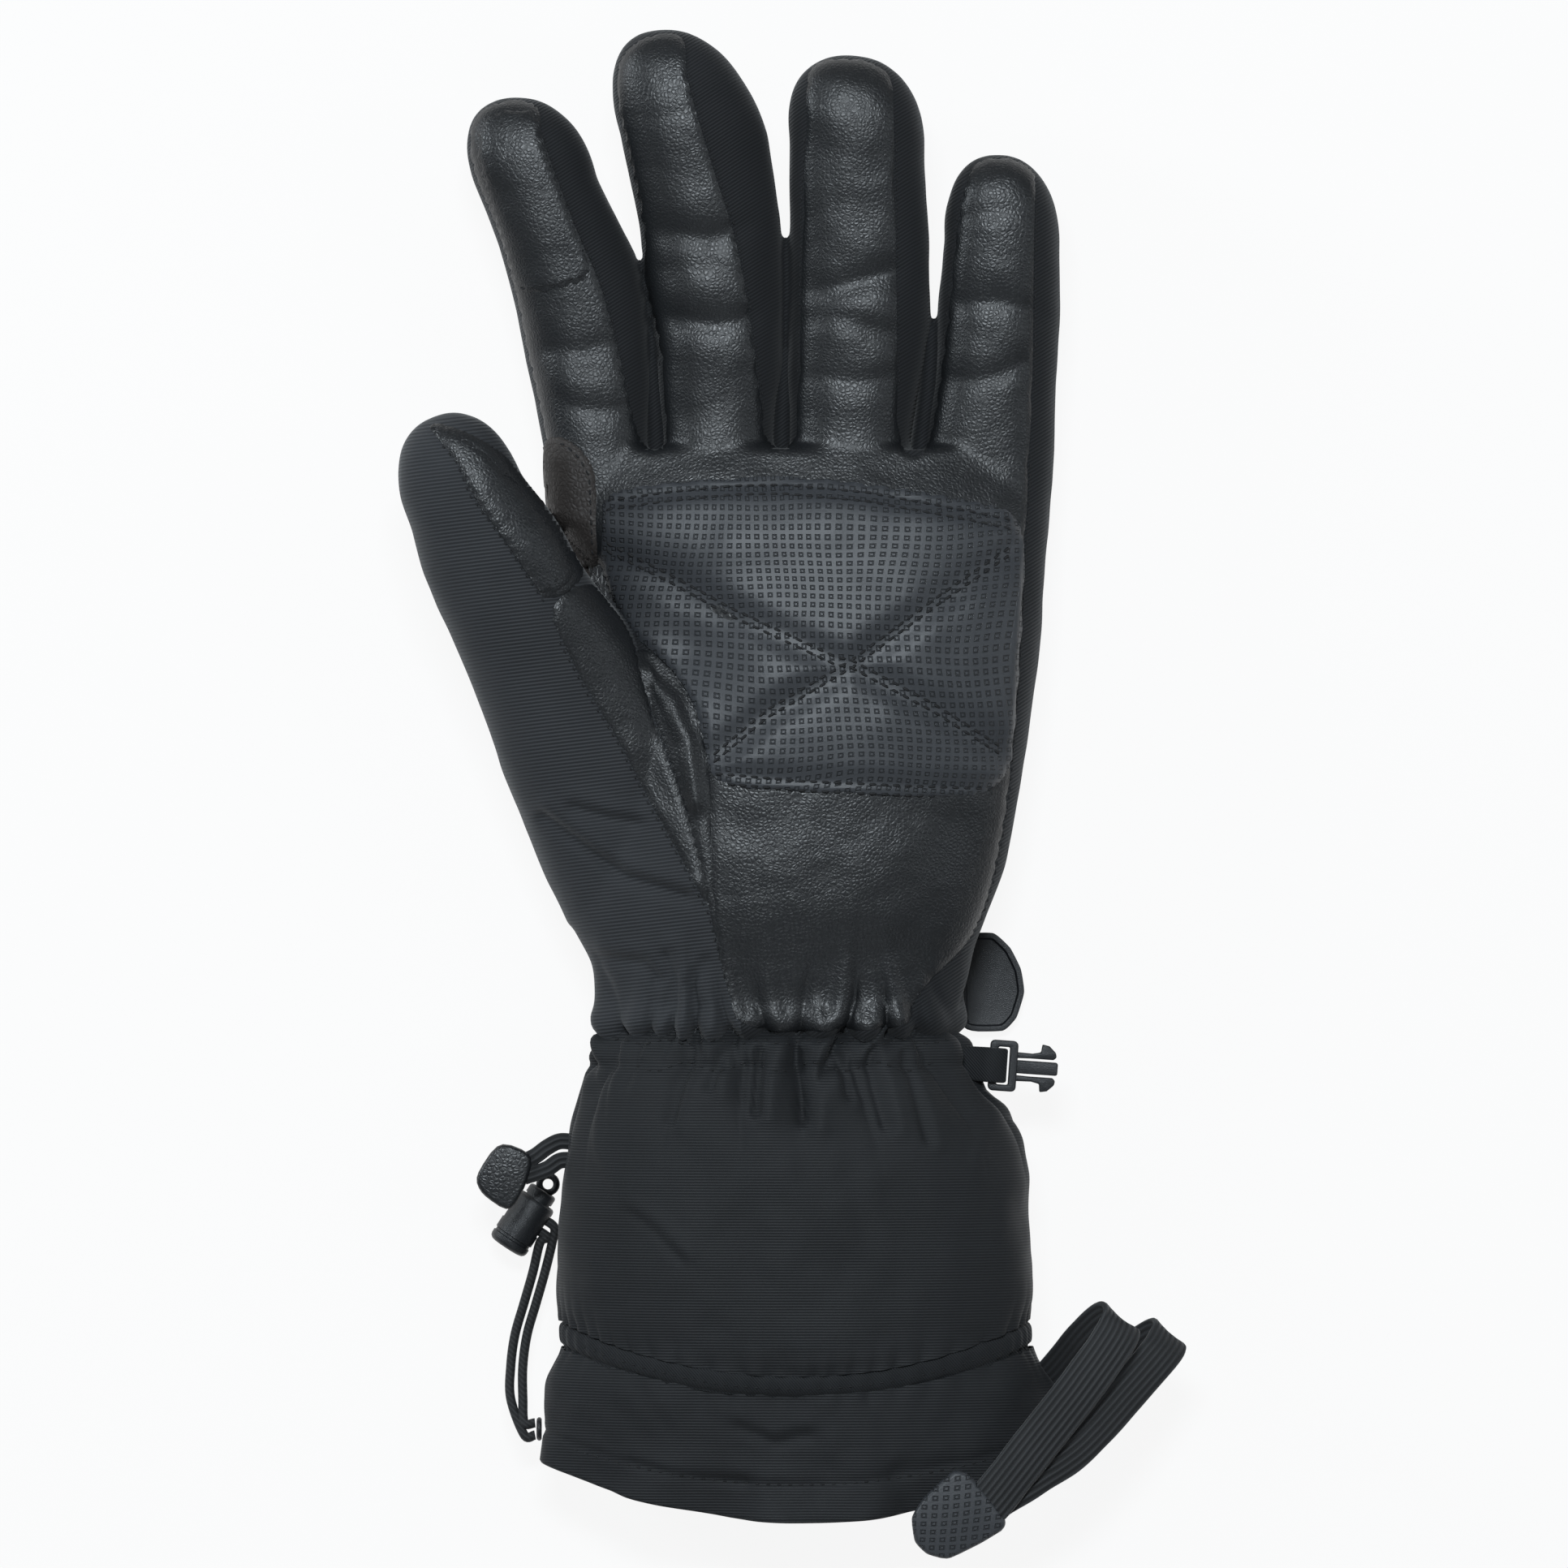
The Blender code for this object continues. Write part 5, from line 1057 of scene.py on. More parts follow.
def gauntlet_relief(loop, out):
    angle = np.arctan2((loop[:, 2] - 20.0) * 2.2, loop[:, 0] + 3.3)
    down = np.clip(ELASTIC_Y + 1.0 - loop[:, 1], 0, None)
    uneven = 6.5 + 3.0 * np.sin(5 * angle + 0.6) + 2.2 * np.sin(11 * angle)
    move = 3.2 * np.exp(-(down / uneven) ** 1.5) * pleat(loop) - 1.2 * np.exp(-(down / 2.0) ** 2)
    move -= 0.8 * np.exp(-((down - 7.5) / 1.3) ** 2)
    long_waves = np.abs(np.sin(angle * 8.5 + 0.6 * np.sin(4 * angle) + down * 0.012)) ** 0.7 * 2 - 1
    move += 1.3 * np.exp(-((down - 8) / 15.0) ** 2) * long_waves
    up = np.clip(out[:, 2], 0, 1)
    for x, reach, depth in FAN:
        slant = (x + 3.0) * 0.35
        fold = [(x, -57.0), (x + slant * 0.6, -57.0 + reach * 0.5)]
        beside = [(x + 2.6, -60.0), (x + 2.6 + slant * 0.5, -58.0 + reach * 0.5)]
        move -= 1.3 * depth * along_line(loop, fold, 1.3) * up
        move += 0.5 * depth * along_line(loop, beside, 2.2) * up
    for line, depth, width in DENTS:
        beside = [(x + 2.4, y + 1.6) for x, y in line]
        move -= depth * along_line(loop, line, width) * up
        move += 0.6 * depth * along_line(loop, beside, width * 1.5)
    move += 1.1 * hills(loop, 19.0, 4.4) + 0.4 * hills(loop, 7.0, 1.9)
    bow = 11.4 * ((loop[:, 0] + 0.5) / 52.0) ** 2
    near_band = np.exp(-np.clip(loop[:, 1] - (-127.9 + bow), 0, None) / 2.6)
    move += near_band * (0.45 * (np.abs(np.sin(angle * 26 + 1.6 * np.sin(5 * angle))) ** 0.8 * 2 - 1) - 0.5)
    puckers = np.exp(-np.clip(loop[:, 1] + 128 - bow, 0, None) / 9.0)
    move += 0.35 * hills(loop, 8.0, 6.1, (1, 0.45, 1)) * puckers
    return move


GAUNTLET_ROWS = [(-51.5, -40.6, 33.8, 6.4, 33.6, 0.0), (-54.2, -42.6, 35.8, 5.0, 35.6, 0.0),
                 (-57.0, -43.6, 36.8, 4.6, 36.6, 0.0), (-60.3, -44.6, 37.8, 4.4, 37.4, 0.0),
                 (-65.0, -46.4, 40.5, 2.0, 39.2, 0.0), (-71.5, -48.6, 45.6, 0.6, 40.7, 0.5),
                 (-82.0, -50.6, 50.0, 0.0, 42.0, 2.0),
                 (-101.0, -53.3, 52.1, 0.0, 42.0, 5.0), (-117.0, -53.8, 52.4, 0.0, 40.5, 8.5),
                 (-128.2, -53.2, 52.0, 0.0, 39.3, 11.4)]
gauntlet = sleeve("gauntlet_cloth", bowed_rings(GAUNTLET_ROWS, 0.8, gauntlet_relief), nylon)
points, _ = arrays(gauntlet.data)
rim = np.exp(-np.clip(-51.5 - points[:, 1], 0, None) / 3.0)
points[:, 1] -= 2.1 * rim * pleat(points)
gauntlet.data.vertices.foreach_set("co", (points * MM).ravel())
finished(gauntlet, "ribbed_nylon", "glove", "gauntlet_front", "gauntlet_back", "wrist_gather")


def band_relief(loop, out):
    bow = 11.4 * ((loop[:, 0] + 0.3) / 51.7) ** 2
    across = np.clip(np.abs(loop[:, 1] - bow * 0.92 + 130.2) / 2.35, 0, 1)
    angle = np.arctan2((loop[:, 2] - 19.0) * 2.4, loop[:, 0])
    puckers = 0.16 * np.sin(angle * 61 + 2 * np.sin(3 * angle)) + 0.2 * hills(loop, 9.0, 3.3)
    return 1.25 * np.sqrt(1 - across ** 2.6) - 0.45 + puckers


BAND_ROWS = [(-127.6, -52.2, 51.4, 0.0, 38.9, 11.4), (-130.2, -51.8, 51.2, 0.0, 38.6, 10.4),
             (-132.9, -52.0, 51.6, 0.0, 38.2, 9.4)]
band = sleeve("hem_tape", bowed_rings(BAND_ROWS, 0.35, band_relief), binding)
finished(band, "softshell", "glove", "hem_band")

SKIRT_DENTS = [([(-13.0, -139.5), (-5.0, -143.0), (2.0, -141.0)], 0.9, 1.6),
               ([(-34.0, -131.5), (-29.0, -140.0)], 0.7, 1.8),
               ([(-36.0, -147.5), (-26.0, -151.0), (-12.0, -151.5)], 0.8, 1.2),
               ([(42.0, -131.0), (47.0, -137.0)], 0.9, 1.6), ([(22.0, -149.0), (36.0, -147.0)], 0.7, 1.4),
               ([(-48.0, -138.0), (-40.0, -144.0)], 0.6, 1.8)]


def skirt_relief(loop, out):
    angle = np.arctan2((loop[:, 2] - 18.0) * 2.2, loop[:, 0])
    down = np.clip((-132.0 + 9.4 * (loop[:, 0] / 52.0) ** 2 - loop[:, 1]) / 28.0, 0, 1)
    move = 1.1 * down * np.sin(angle * 5 + 0.8) + 0.7 * down * np.sin(angle * 11 + 1.1)
    move += 0.35 * np.exp(-down * 12) * (np.abs(np.sin(angle * 24 + np.sin(4 * angle))) * 2 - 1)
    move += 1.2 * hills(loop, 15.0, 2.8, (1, 0.7, 1)) + 0.45 * hills(loop, 5.5, 8.1)
    up = np.clip(out[:, 2], 0, 1)
    for line, depth, width in SKIRT_DENTS:
        move -= depth * along_line(loop, line, width) * up
        move += 0.5 * depth * along_line(loop, shifted(line, 2.4), width * 1.5) * up
    hem = np.abs(down - 0.72)
    return move - 0.45 * np.exp(-(hem / 0.03) ** 2)


SKIRT_ROWS = [(-132.2, -51.8, 51.8, 0.0, 38.0, 9.4), (-136.0, -53.6, 53.8, 0.0, 38.0, 9.8),
              (-142.0, -55.6, 56.6, 0.0, 37.5, 10.6), (-151.0, -56.8, 58.8, 0.0, 36.5, 12.0),
              (-160.2, -57.4, 60.0, 0.0, 36.0, 13.0)]
outer = bowed_rings(SKIRT_ROWS, 0.8, skirt_relief)
hem = [outer[0] + np.array([0, -0.7, 0.0])]
for inset, back in ((0.25, 0.45), (0.8, 0.3), (1.4, -0.5), (1.6, -3.0), (1.7, -10.0), (2.6, -12.0)):
    middle = np.array([outer[0][:, 0].mean(), 0, 18.0])
    inward = (outer[0] - middle) * np.array([1, 0, 1])
    inward /= np.linalg.norm(inward, axis=1)[:, None]
    hem.append(outer[0] - inward * inset - np.array([0, back, 0]))
skirt = sleeve("snow_skirt", hem[:0:-1] + outer, nylon)
finished(skirt, "ribbed_nylon", "glove", "skirt")
sewn("hem_stitches", [[(x, -152.2 + 9.5 * (x / 56.0) ** 2) for x in range(-50, 52, 3)]], [tree_of(skirt)],
     "palm", radius=0.16, length=1.2, pitch=2.4)
sewn("tape_stitches", [[(x, -130.9 + 10.5 * (x / 51.5) ** 2) for x in range(-48, 50, 3)]],
     [tree_of(band)], "palm", radius=0.15, length=1.2, pitch=2.3)
sewn("wrist_stitches", [[(x, ELASTIC_Y - 1.2 + 0.5 * math.sin(x * 0.6)) for x in range(-41, 36, 2)],
                        [(x, ELASTIC_Y - 6.6 + 1.0 * math.sin(x * 0.45)) for x in range(-36, 34, 2)]],
     [tree_of(gauntlet), whole_skin], "palm", radius=0.18, length=1.4, pitch=2.4)

# Lining: brushed fleece, sewn as a sock. It fills the glove from the cuff's mouth to the palm and shows only
# inside the mouth.
LINING_ROWS = [(62.0, -48.0, 50.0, 5.0, 31.0, 0.0), (20.0, -43.0, 47.0, 5.0, 35.0, 0.0),
               (-25.0, -43.0, 37.0, 7.0, 33.0, 0.0), (-50.0, -37.0, 30.5, 9.5, 30.5, 0.0),
               (-62.0, -39.5, 32.5, 8.5, 32.0, 0.0), (-82.0, -46.0, 45.0, 3.5, 38.0, 2.0),
               (-117.0, -49.8, 48.4, 3.2, 36.6, 8.5), (-132.0, -48.6, 48.0, 3.2, 34.8, 9.4),
               (-151.0, -54.6, 56.4, 2.2, 34.3, 12.0), (-157.6, -55.4, 57.8, 2.0, 33.9, 12.6)]


def fleece_relief(loop, out):
    return 0.5 * hills(loop, 11.0, 6.6) + 0.25 * hills(loop, 4.0, 1.1)


sock_rings = bowed_rings(LINING_ROWS, 1.6, fleece_relief)
mid = sock_rings[-1].mean(axis=0)
closing = [mid + (sock_rings[-1] - mid) * scale + np.array([0, rise, 0])
           for scale, rise in ((0.92, 1.5), (0.75, 3.0), (0.45, 4.2), (0.15, 4.8), (0.01, 4.9))]
sock = sleeve("fleece_sock", sock_rings + closing, fleece)
sock.data.flip_normals()
finished(sock, "lining", "glove", "gauntlet_lining", "wrist_lining")


# Straps: flat bands of webbing and elastic with rounded edges. The ribs of the elastic run along its length,
# so the band's own length and width are its flat coordinates.
def smooth_line(points, steps):
    """Points of a Catmull-Rom curve through the given points."""
    knots = [Vector(point) for point in points]
    knots = [2 * knots[0] - knots[1], *knots, 2 * knots[-1] - knots[-2]]
    spans = len(knots) - 3
    found = []
    for step in range(steps + 1):
        place = min(step * spans / steps, spans - 1e-9)
        i = int(place)
        t = place - i
        a, b, c, d = knots[i:i + 4]
        found.append(0.5 * (2 * b + (c - a) * t + (2 * a - 5 * b + 4 * c - d) * t**2
                            + (3 * b - a - 3 * c + d) * t**3))
    return found


def faced_out(made, sharp=None):
    """Points all faces outwards; edges sharper than the angle in degrees stay sharp."""
    mesh_data = bmesh.new()
    mesh_data.from_mesh(made.data)
    bmesh.ops.recalc_face_normals(mesh_data, faces=mesh_data.faces)
    mesh_data.to_mesh(made.data)
    mesh_data.free()
    if sharp:
        made.data.set_sharp_from_angle(angle=math.radians(sharp))
    return made


def ribbon(name, line, width, thick, across, material, swell=0.0):
    """A band along a line of points in millimetres; swell makes its edges waver a little."""
    corners = [(side, side * math.pi - turn * math.pi / 4) for side in (0.5, -0.5) for turn in range(5)]
    points, places, run = [], [], 0.0
    for i, at in enumerate(line):
        ahead = (line[min(i + 1, len(line) - 1)] - line[max(i - 1, 0)]).normalized()
        wide = Vector(across)
        wide = (wide - ahead * wide.dot(ahead)).normalized()
        up = wide.cross(ahead)
        run += (at - line[i - 1]).length if i else 0.0
        half = (width - thick) * (1 + swell * noise.noise(Vector((run / 7.0, width, 0.0))))
        for side, angle in corners:
            off = wide * (side * half + math.cos(angle) * thick / 2) + up * math.sin(angle) * thick / 2
            points.append(at + off)
            places.append((run * MM, off.dot(wide) * MM))
    count = len(corners)
    faces = quads(len(line), count, flip=True)
    faces += [tuple(range(count))[::-1], tuple(range(len(points) - count, len(points)))]
    made = made_mesh(name, [p * MM for p in points], faces, material)
    layer = made.data.uv_layers.new(name="flat")
    layer.data.foreach_set("uv", np.array([places[loop.vertex_index] for loop in made.data.loops]).ravel())
    return faced_out(made, 60)


def strap_piece(name, line, width, thick, across, material, kind, body, node, swell=0.0):
    finished(ribbon(name, line, width, thick, across, material, swell), kind, body, node)


LEASH_SIDE = (0.75, -0.66, 0.0)
ALONG_Y = (0, 1, 0)
UPPER_LINE = [(54.2, -132.6, 17.0), (57.95, -129.0, 20.7), (64.5, -120.5, 27.0), (69.5, -115.8, 32.5),
              (70.6, -118.5, 37.0), (62.5, -130.0, 40.2), (53.0, -142.0, 41.6), (43.6, -154.0, 41.4),
              (40.8, -157.0, 40.9)]
LOWER_LINE = [(56.4, -140.4, 13.8), (60.35, -136.6, 15.7), (70.0, -127.5, 19.5), (80.2, -120.0, 24.5),
              (81.3, -122.0, 29.5), (72.0, -132.5, 34.0), (62.0, -143.0, 37.6), (52.5, -149.5, 39.2),
              (43.6, -155.0, 39.3), (41.0, -157.2, 39.5)]
for label, line, width in (("upper", UPPER_LINE, 10.0), ("lower", LOWER_LINE, 9.2)):
    strap_piece(f"leash_{label}_elastic", smooth_line(line, 96), width, 1.4, LEASH_SIDE, elastic_cloth,
                "elastic", "leash", f"leash_{label}_strap", 0.05)
for side, label in ((1, "pull_strip_upper"), (-1, "pull_strip_lower")):
    line = [(-49.5, -79.4 + 2.0 * side, 20.2), (-52.6, -79.4 + 2.16 * side, 20.6),
            (-55.3, -80.9 + 2.4 * side, 21.0), (-58.0, -82.4 + 1.92 * side, 20.6),
            (-60.5, -83.4 + 1.7 * side, 20.5)]
    strap_piece(f"{label}_ribbed", smooth_line(line, 30), 3.6, 1.2, ALONG_Y, elastic_cloth, "elastic",
                "pull_loop", label)
STRAP_Y = -42.0
STRAP_WIDTH, PAD_WIDTH, ANCHOR_WIDTH = 20.0, 17.0, 18.0
FLAP_UP = 0.9
FOLD_X, FOLD_UP, FOLD_RADIUS = -31.0, 2.45, 1.55


def half_turn(x, radius, steps):
    """Points (x, z) of the half circle that leads a strap round the ring."""
    turns = [math.pi * step / steps for step in range(steps + 1)]
    return [(x + radius * math.sin(a), FOLD_UP + abs(radius) * math.cos(a)) for a in turns]


def strap_line(places):
    return [Vector((x, STRAP_Y, z)) for x, z in places]


wrist_line = strap_line([(36.0, 4.0), (12.0, 4.0), (-12.0, 4.0), *half_turn(FOLD_X, -FOLD_RADIUS, 16),
                         (-29.8, FLAP_UP)])
strap_piece("wrist_strap_cloth", wrist_line, STRAP_WIDTH, 1.0, ALONG_Y, binding, "softshell", "glove",
            "wrist_strap")
flap_line = strap_line([(x, FLAP_UP) for x in range(-29, 38, 6)])
strap_piece("strap_flap_cloth", flap_line, STRAP_WIDTH, 1.0, ALONG_Y, binding, "softshell", "strap_end",
            "strap_flap")
for label, height, material, kind, body in (("hook_pad", 2.0, elastic_cloth, "elastic", "strap_end"),
                                            ("loop_pad", 2.9, fleece, "lining", "glove")):
    pad_line = strap_line([(x, height) for x in range(-26, 23, 4)])
    strap_piece(f"{label}_cloth", pad_line, PAD_WIDTH, 0.6, ALONG_Y, material, kind, body, label)
ANCHOR_X = -38.8
leg = ((-3.6, 0.65), (-1.8, 1.25))
anchor_line = strap_line([*((ANCHOR_X + x, FOLD_UP + z) for x, z in leg),
                          *half_turn(ANCHOR_X, FOLD_RADIUS, 14),
                          *((ANCHOR_X + x, FOLD_UP - z) for x, z in leg[::-1])])
strap_piece("ring_anchor_loop", anchor_line, ANCHOR_WIDTH, 0.8, ALONG_Y, binding, "softshell", "glove",
            "ring_anchor")
BUCKLE_AT = Vector((43.4, -60.2, 24.0))
BUCKLE_TURN = math.radians(-4)
BUCKLE_ALONG = Vector((math.cos(BUCKLE_TURN), math.sin(BUCKLE_TURN), 0))
BUCKLE_SIDE = Vector((-BUCKLE_ALONG.y, BUCKLE_ALONG.x, 0))
CLEAR = 2.6
BEND_STEPS = [math.pi * step / 16 for step in range(17)]
lead_in = [(-8.5, 0.4), (-4.4, 0.65), (-2.2, CLEAR * 0.8), (-0.5, CLEAR)]
arc = [(CLEAR * math.sin(a), CLEAR * math.cos(a)) for a in BEND_STEPS]
loop = [*lead_in, *arc, *((x, -z) for x, z in lead_in[::-1])]
webbing_line = [BUCKLE_AT + BUCKLE_ALONG * x + Vector((0, 0, z)) for x, z in loop]
strap_piece("buckle_webbing_loop", webbing_line, 7.6, 1.0, BUCKLE_SIDE, binding, "softshell", "glove",
            "buckle_webbing")


# Tabs of the leash and of the pull loop: leather cut to its outline, its edges turned under. The leash's tab
# has squares embossed on its top.
def solid_object(name, mesh_data, material):
    """The finished mesh as an object whose rounded edges shade smoothly."""
    mesh = bpy.data.meshes.new(name)
    mesh_data.to_mesh(mesh)
    mesh_data.free()
    mesh.materials.append(material)
    mesh.shade_smooth()
    mesh.set_sharp_from_angle(angle=math.radians(35))
    return linked(name, mesh)


def slab(name, outline, low, high, material, edge, sunk=None):
    """A prism with rounded edges; sunk gives the rim's width and the depth of the face inside it."""
    mesh_data = bmesh.new()
    base = [mesh_data.verts.new((x, y, low)) for x, y in outline]
    bottom = mesh_data.faces.new(base)
    lifted = bmesh.ops.extrude_face_region(mesh_data, geom=[bottom])
    top = [item for item in lifted["geom"] if isinstance(item, bmesh.types.BMFace)][0]
    bmesh.ops.translate(mesh_data, verts=top.verts, vec=(0, 0, high - low))
    bmesh.ops.recalc_face_normals(mesh_data, faces=mesh_data.faces)
    if sunk:
        bmesh.ops.inset_region(mesh_data, faces=[top], thickness=sunk[0])
        bmesh.ops.inset_region(mesh_data, faces=[top], thickness=0.3)
        bmesh.ops.translate(mesh_data, verts=top.verts, vec=(0, 0, -sunk[1]))
    sharp = [edge for edge in mesh_data.edges if len(edge.link_faces) == 2 and edge.calc_face_angle() > 0.6]
    bmesh.ops.bevel(mesh_data, geom=sharp, offset=edge, segments=4, profile=0.5, affect="EDGES",
                    clamp_overlap=True)
    bmesh.ops.scale(mesh_data, vec=(MM, MM, MM), verts=mesh_data.verts)
    bmesh.ops.triangulate(mesh_data, faces=[face for face in mesh_data.faces if len(face.verts) > 6])
    made = solid_object(name, mesh_data, material)
    layer = made.data.uv_layers.new(name="flat")
    places = [made.data.vertices[loop.vertex_index].co[:2] for loop in made.data.loops]
    layer.data.foreach_set("uv", np.array(places).ravel())
    return made


LEASH_TAB = [(34.4, -148.4), (38.0, -149.4), (46.8, -160.6), (40.5, -164.5), (33.0, -168.2), (28.4, -167.0),
             (25.7, -164.3), (25.0, -159.0), (27.7, -154.6)]
PULL_TAB = [(-58.3, -80.1), (-66.1, -77.0), (-71.5, -85.1), (-70.0, -88.9), (-63.7, -93.2), (-60.0, -87.0)]


def eased(outline, share=0.86):
    """The outline with each corner cut short, keeping its straight sides."""
    found = []
    for (ax, ay), (bx, by) in zip(outline, [*outline[1:], outline[0]]):
        found += [(ax * part + bx * (1 - part), ay * part + by * (1 - part)) for part in (share, 1 - share)]
    return found


finished(slab("leash_tab_leather", rounded(eased(LEASH_TAB), 1), 38.2, 42.4, embossed, 1.1), "leather",
         "leash", "leash_tab")
finished(slab("pull_tab_leather", rounded(eased(PULL_TAB, 0.8), 1), 18.9, 22.3, goat, 1.0), "leather",
               "pull_loop", "pull_tab")

# Wrist strap's end: a D-shaped tab of moulded plastic with a sunk face, fixed to the strap's flap, and the
# plastic ring that the strap folds round.
TAB_OUTLINE = [(36.6, -53.4), (36.6, -31.4), (44.2, -31.2), (47.8, -34.6), (50.2, -39.4), (51.0, -44.6),
               (49.2, -50.4), (46.4, -53.4)]
finished(slab("strap_tab_moulded", rounded(eased(TAB_OUTLINE, 0.88), 2), 0.4, 3.4, moulded, 0.35, (1.2, 0.8)),
               "plastic", "strap_end", "strap_tab")


WIRE = 0.62


def wire_loop(name, line, radius, material, up=Vector((0, 0, 1)), closed=True, sides=12):
    """A round wire along a line whose ends meet, or along an open one with its ends filled."""
    points, faces = [], []
    count = len(line)
    turns = [k * 2 * math.pi / sides for k in range(sides)]
    for i, at in enumerate(line):
        behind, beyond = (i - 1, (i + 1) % count) if closed else (max(i - 1, 0), min(i + 1, count - 1))
        side = up.cross((line[beyond] - line[behind]).normalized())
        points += [at + (side * math.cos(turn) + up * math.sin(turn)) * radius for turn in turns]
        if closed or i < count - 1:
            a, b = i * sides, beyond * sides
            faces += [(a + k, a + (k + 1) % sides, b + (k + 1) % sides, b + k) for k in range(sides)]
    if not closed:
        faces += [tuple(range(sides))[::-1], tuple(range(len(points) - sides, len(points)))]
    return made_mesh(name, [p * MM for p in points], faces, material)


def oblong(left, right, low, high, corner, steps):
    """A rectangle with rounded corners, run round from its upper right."""
    middles = [(right - corner, high - corner), (left + corner, high - corner), (left + corner, low + corner),
               (right - corner, low + corner)]
    found = []
    for quarter, (x, y) in enumerate(middles):
        turns = [(quarter + k / steps) * math.pi / 2 for k in range(steps + 1)]
        found += [(x + corner * math.cos(turn), y + corner * math.sin(turn)) for turn in turns]
    return found


ring_line = [Vector((x, y, FOLD_UP)) for x, y in oblong(-38.8, -31.0, -54.4, -29.6, 1.0, 4)]
finished(wire_loop("strap_ring_wire", ring_line, WIRE, moulded), "plastic", "glove", "strap_ring")


# Buckle: the male half of a side-release buckle in moulded plastic. It has a frame with a slot for the
# webbing, a guide in the middle and two springy prongs, and it swings on its webbing.
def framed(name, pieces, low, high, material, edge, at, along):
    """Prisms of the buckle's pieces in its own frame, their edges rounded, as one object."""
    joined = bmesh.new()
    for outline, hole, set_in in pieces:
        mesh_data = bmesh.new()
        tops = []
        for rim in [outline] + ([hole] if hole else []):
            levels = [[mesh_data.verts.new((x, y, z)) for x, y in rim] for z in (low + set_in, high - set_in)]
            for j in range(len(rim)):
                m = (j + 1) % len(rim)
                mesh_data.faces.new((levels[0][j], levels[0][m], levels[1][m], levels[1][j]))
            tops.append(levels)
        for level in (0, 1):
            if hole:
                outer_rim, inner_rim = tops[0][level], tops[1][level]
                for j in range(len(outline)):
                    m = (j + 1) % len(outline)
                    mesh_data.faces.new((outer_rim[j], outer_rim[m], inner_rim[m], inner_rim[j]))
            else:
                mesh_data.faces.new(tops[0][level])
        bmesh.ops.recalc_face_normals(mesh_data, faces=mesh_data.faces)
        sharp = [edge_ for edge_ in mesh_data.edges if edge_.calc_face_angle() > 0.6]
        bmesh.ops.bevel(mesh_data, geom=sharp, offset=edge, segments=3, profile=0.5, affect="EDGES",
                        clamp_overlap=True)
        bmesh.ops.scale(mesh_data, vec=(MM, MM, MM), verts=mesh_data.verts)
        mesh = bpy.data.meshes.new(name)
        mesh_data.to_mesh(mesh)
        mesh_data.free()
        joined.from_mesh(mesh)
        bpy.data.meshes.remove(mesh)
    side = Vector((-along.y, along.x, 0))
    for vert in joined.verts:
        vert.co = Vector(at) * MM + Vector(along) * vert.co.x + side * vert.co.y + Vector((0, 0, vert.co.z))
    return solid_object(name, joined, material)


frame_rims = oblong(-0.9, 5.3, -5.6, 5.6, 1.0, 3), oblong(0.9, 3.5, -4.2, 4.2, 0.4, 3)
pieces = [(*frame_rims, 0.0), (oblong(4.9, 14.3, -1.45, 1.45, 0.5, 3), None, 0.5)]
PRONG = [(4.9, 3.2), (8.6, 3.1), (10.4, 3.5), (10.6, 5.3), (12.2, 5.0), (13.7, 3.6), (13.9, 2.6), (13.3, 2.0),
         (8.0, 2.0), (4.9, 1.9)]
for side in (1, -1):
    pieces.append(([(x, y * side) for x, y in PRONG[::side]], None, 0.4))
buckle = framed("buckle_male_half", pieces, -1.6, 1.6, moulded, 0.3, BUCKLE_AT, BUCKLE_ALONG)
finished(buckle, "plastic", "buckle_body", "buckle")


# Cord lock: a moulded barrel with a plunger on a steel spring. The drawcord, a round braid, runs through both
# and down to an eyelet in the skirt.
def turned(name, profile, at, axis, material, sides=48):
    """A profile of (radius, distance) turned about an axis through a point."""
    axis = Vector(axis).normalized()
    side = Vector((0, 0, 1))
    other = axis.cross(side)
    points = []
    turns = [k * 2 * math.pi / sides for k in range(sides)]
    for radius, far in profile:
        middle, radius = Vector(at) + axis * far, max(radius, 0.01)
        points += [middle + (side * math.cos(turn) + other * math.sin(turn)) * radius for turn in turns]
    faces = quads(len(profile), sides, flip=True)
    faces += [tuple(range(sides))[::-1], tuple(range(len(points) - sides, len(points)))]
    return faced_out(made_mesh(name, [p * MM for p in points], faces, material), 40)


def cut_through(target, name, centre, axis, half_along, half_up, reach):
    """Cuts a slot across the piece, where the cord passes."""
    axis = Vector(axis).normalized()
    side = Vector((axis.y, -axis.x, 0))
    corners = []
    for far in (-half_along, half_along):
        for aside in (-reach, reach):
            middle = Vector(centre) + axis * far + side * aside
            corners += [middle + Vector((0, 0, up)) for up in (-half_up, half_up)]
    faces = [(0, 1, 3, 2), (4, 6, 7, 5), (0, 4, 5, 1), (2, 3, 7, 6), (0, 2, 6, 4), (1, 5, 7, 3)]
    cutter = faced_out(made_mesh(name, [p * MM for p in corners], faces, moulded, smooth=False))
    slot = target.modifiers.new("slot", "BOOLEAN")
    slot.operation = "DIFFERENCE"
    slot.solver = "EXACT"
    slot.object = cutter
    bpy.ops.object.select_all(action="DESELECT")
    target.select_set(True)
    bpy.context.view_layer.objects.active = target
    bpy.ops.object.modifier_apply(modifier="slot")
    bpy.data.objects.remove(cutter, do_unlink=True)


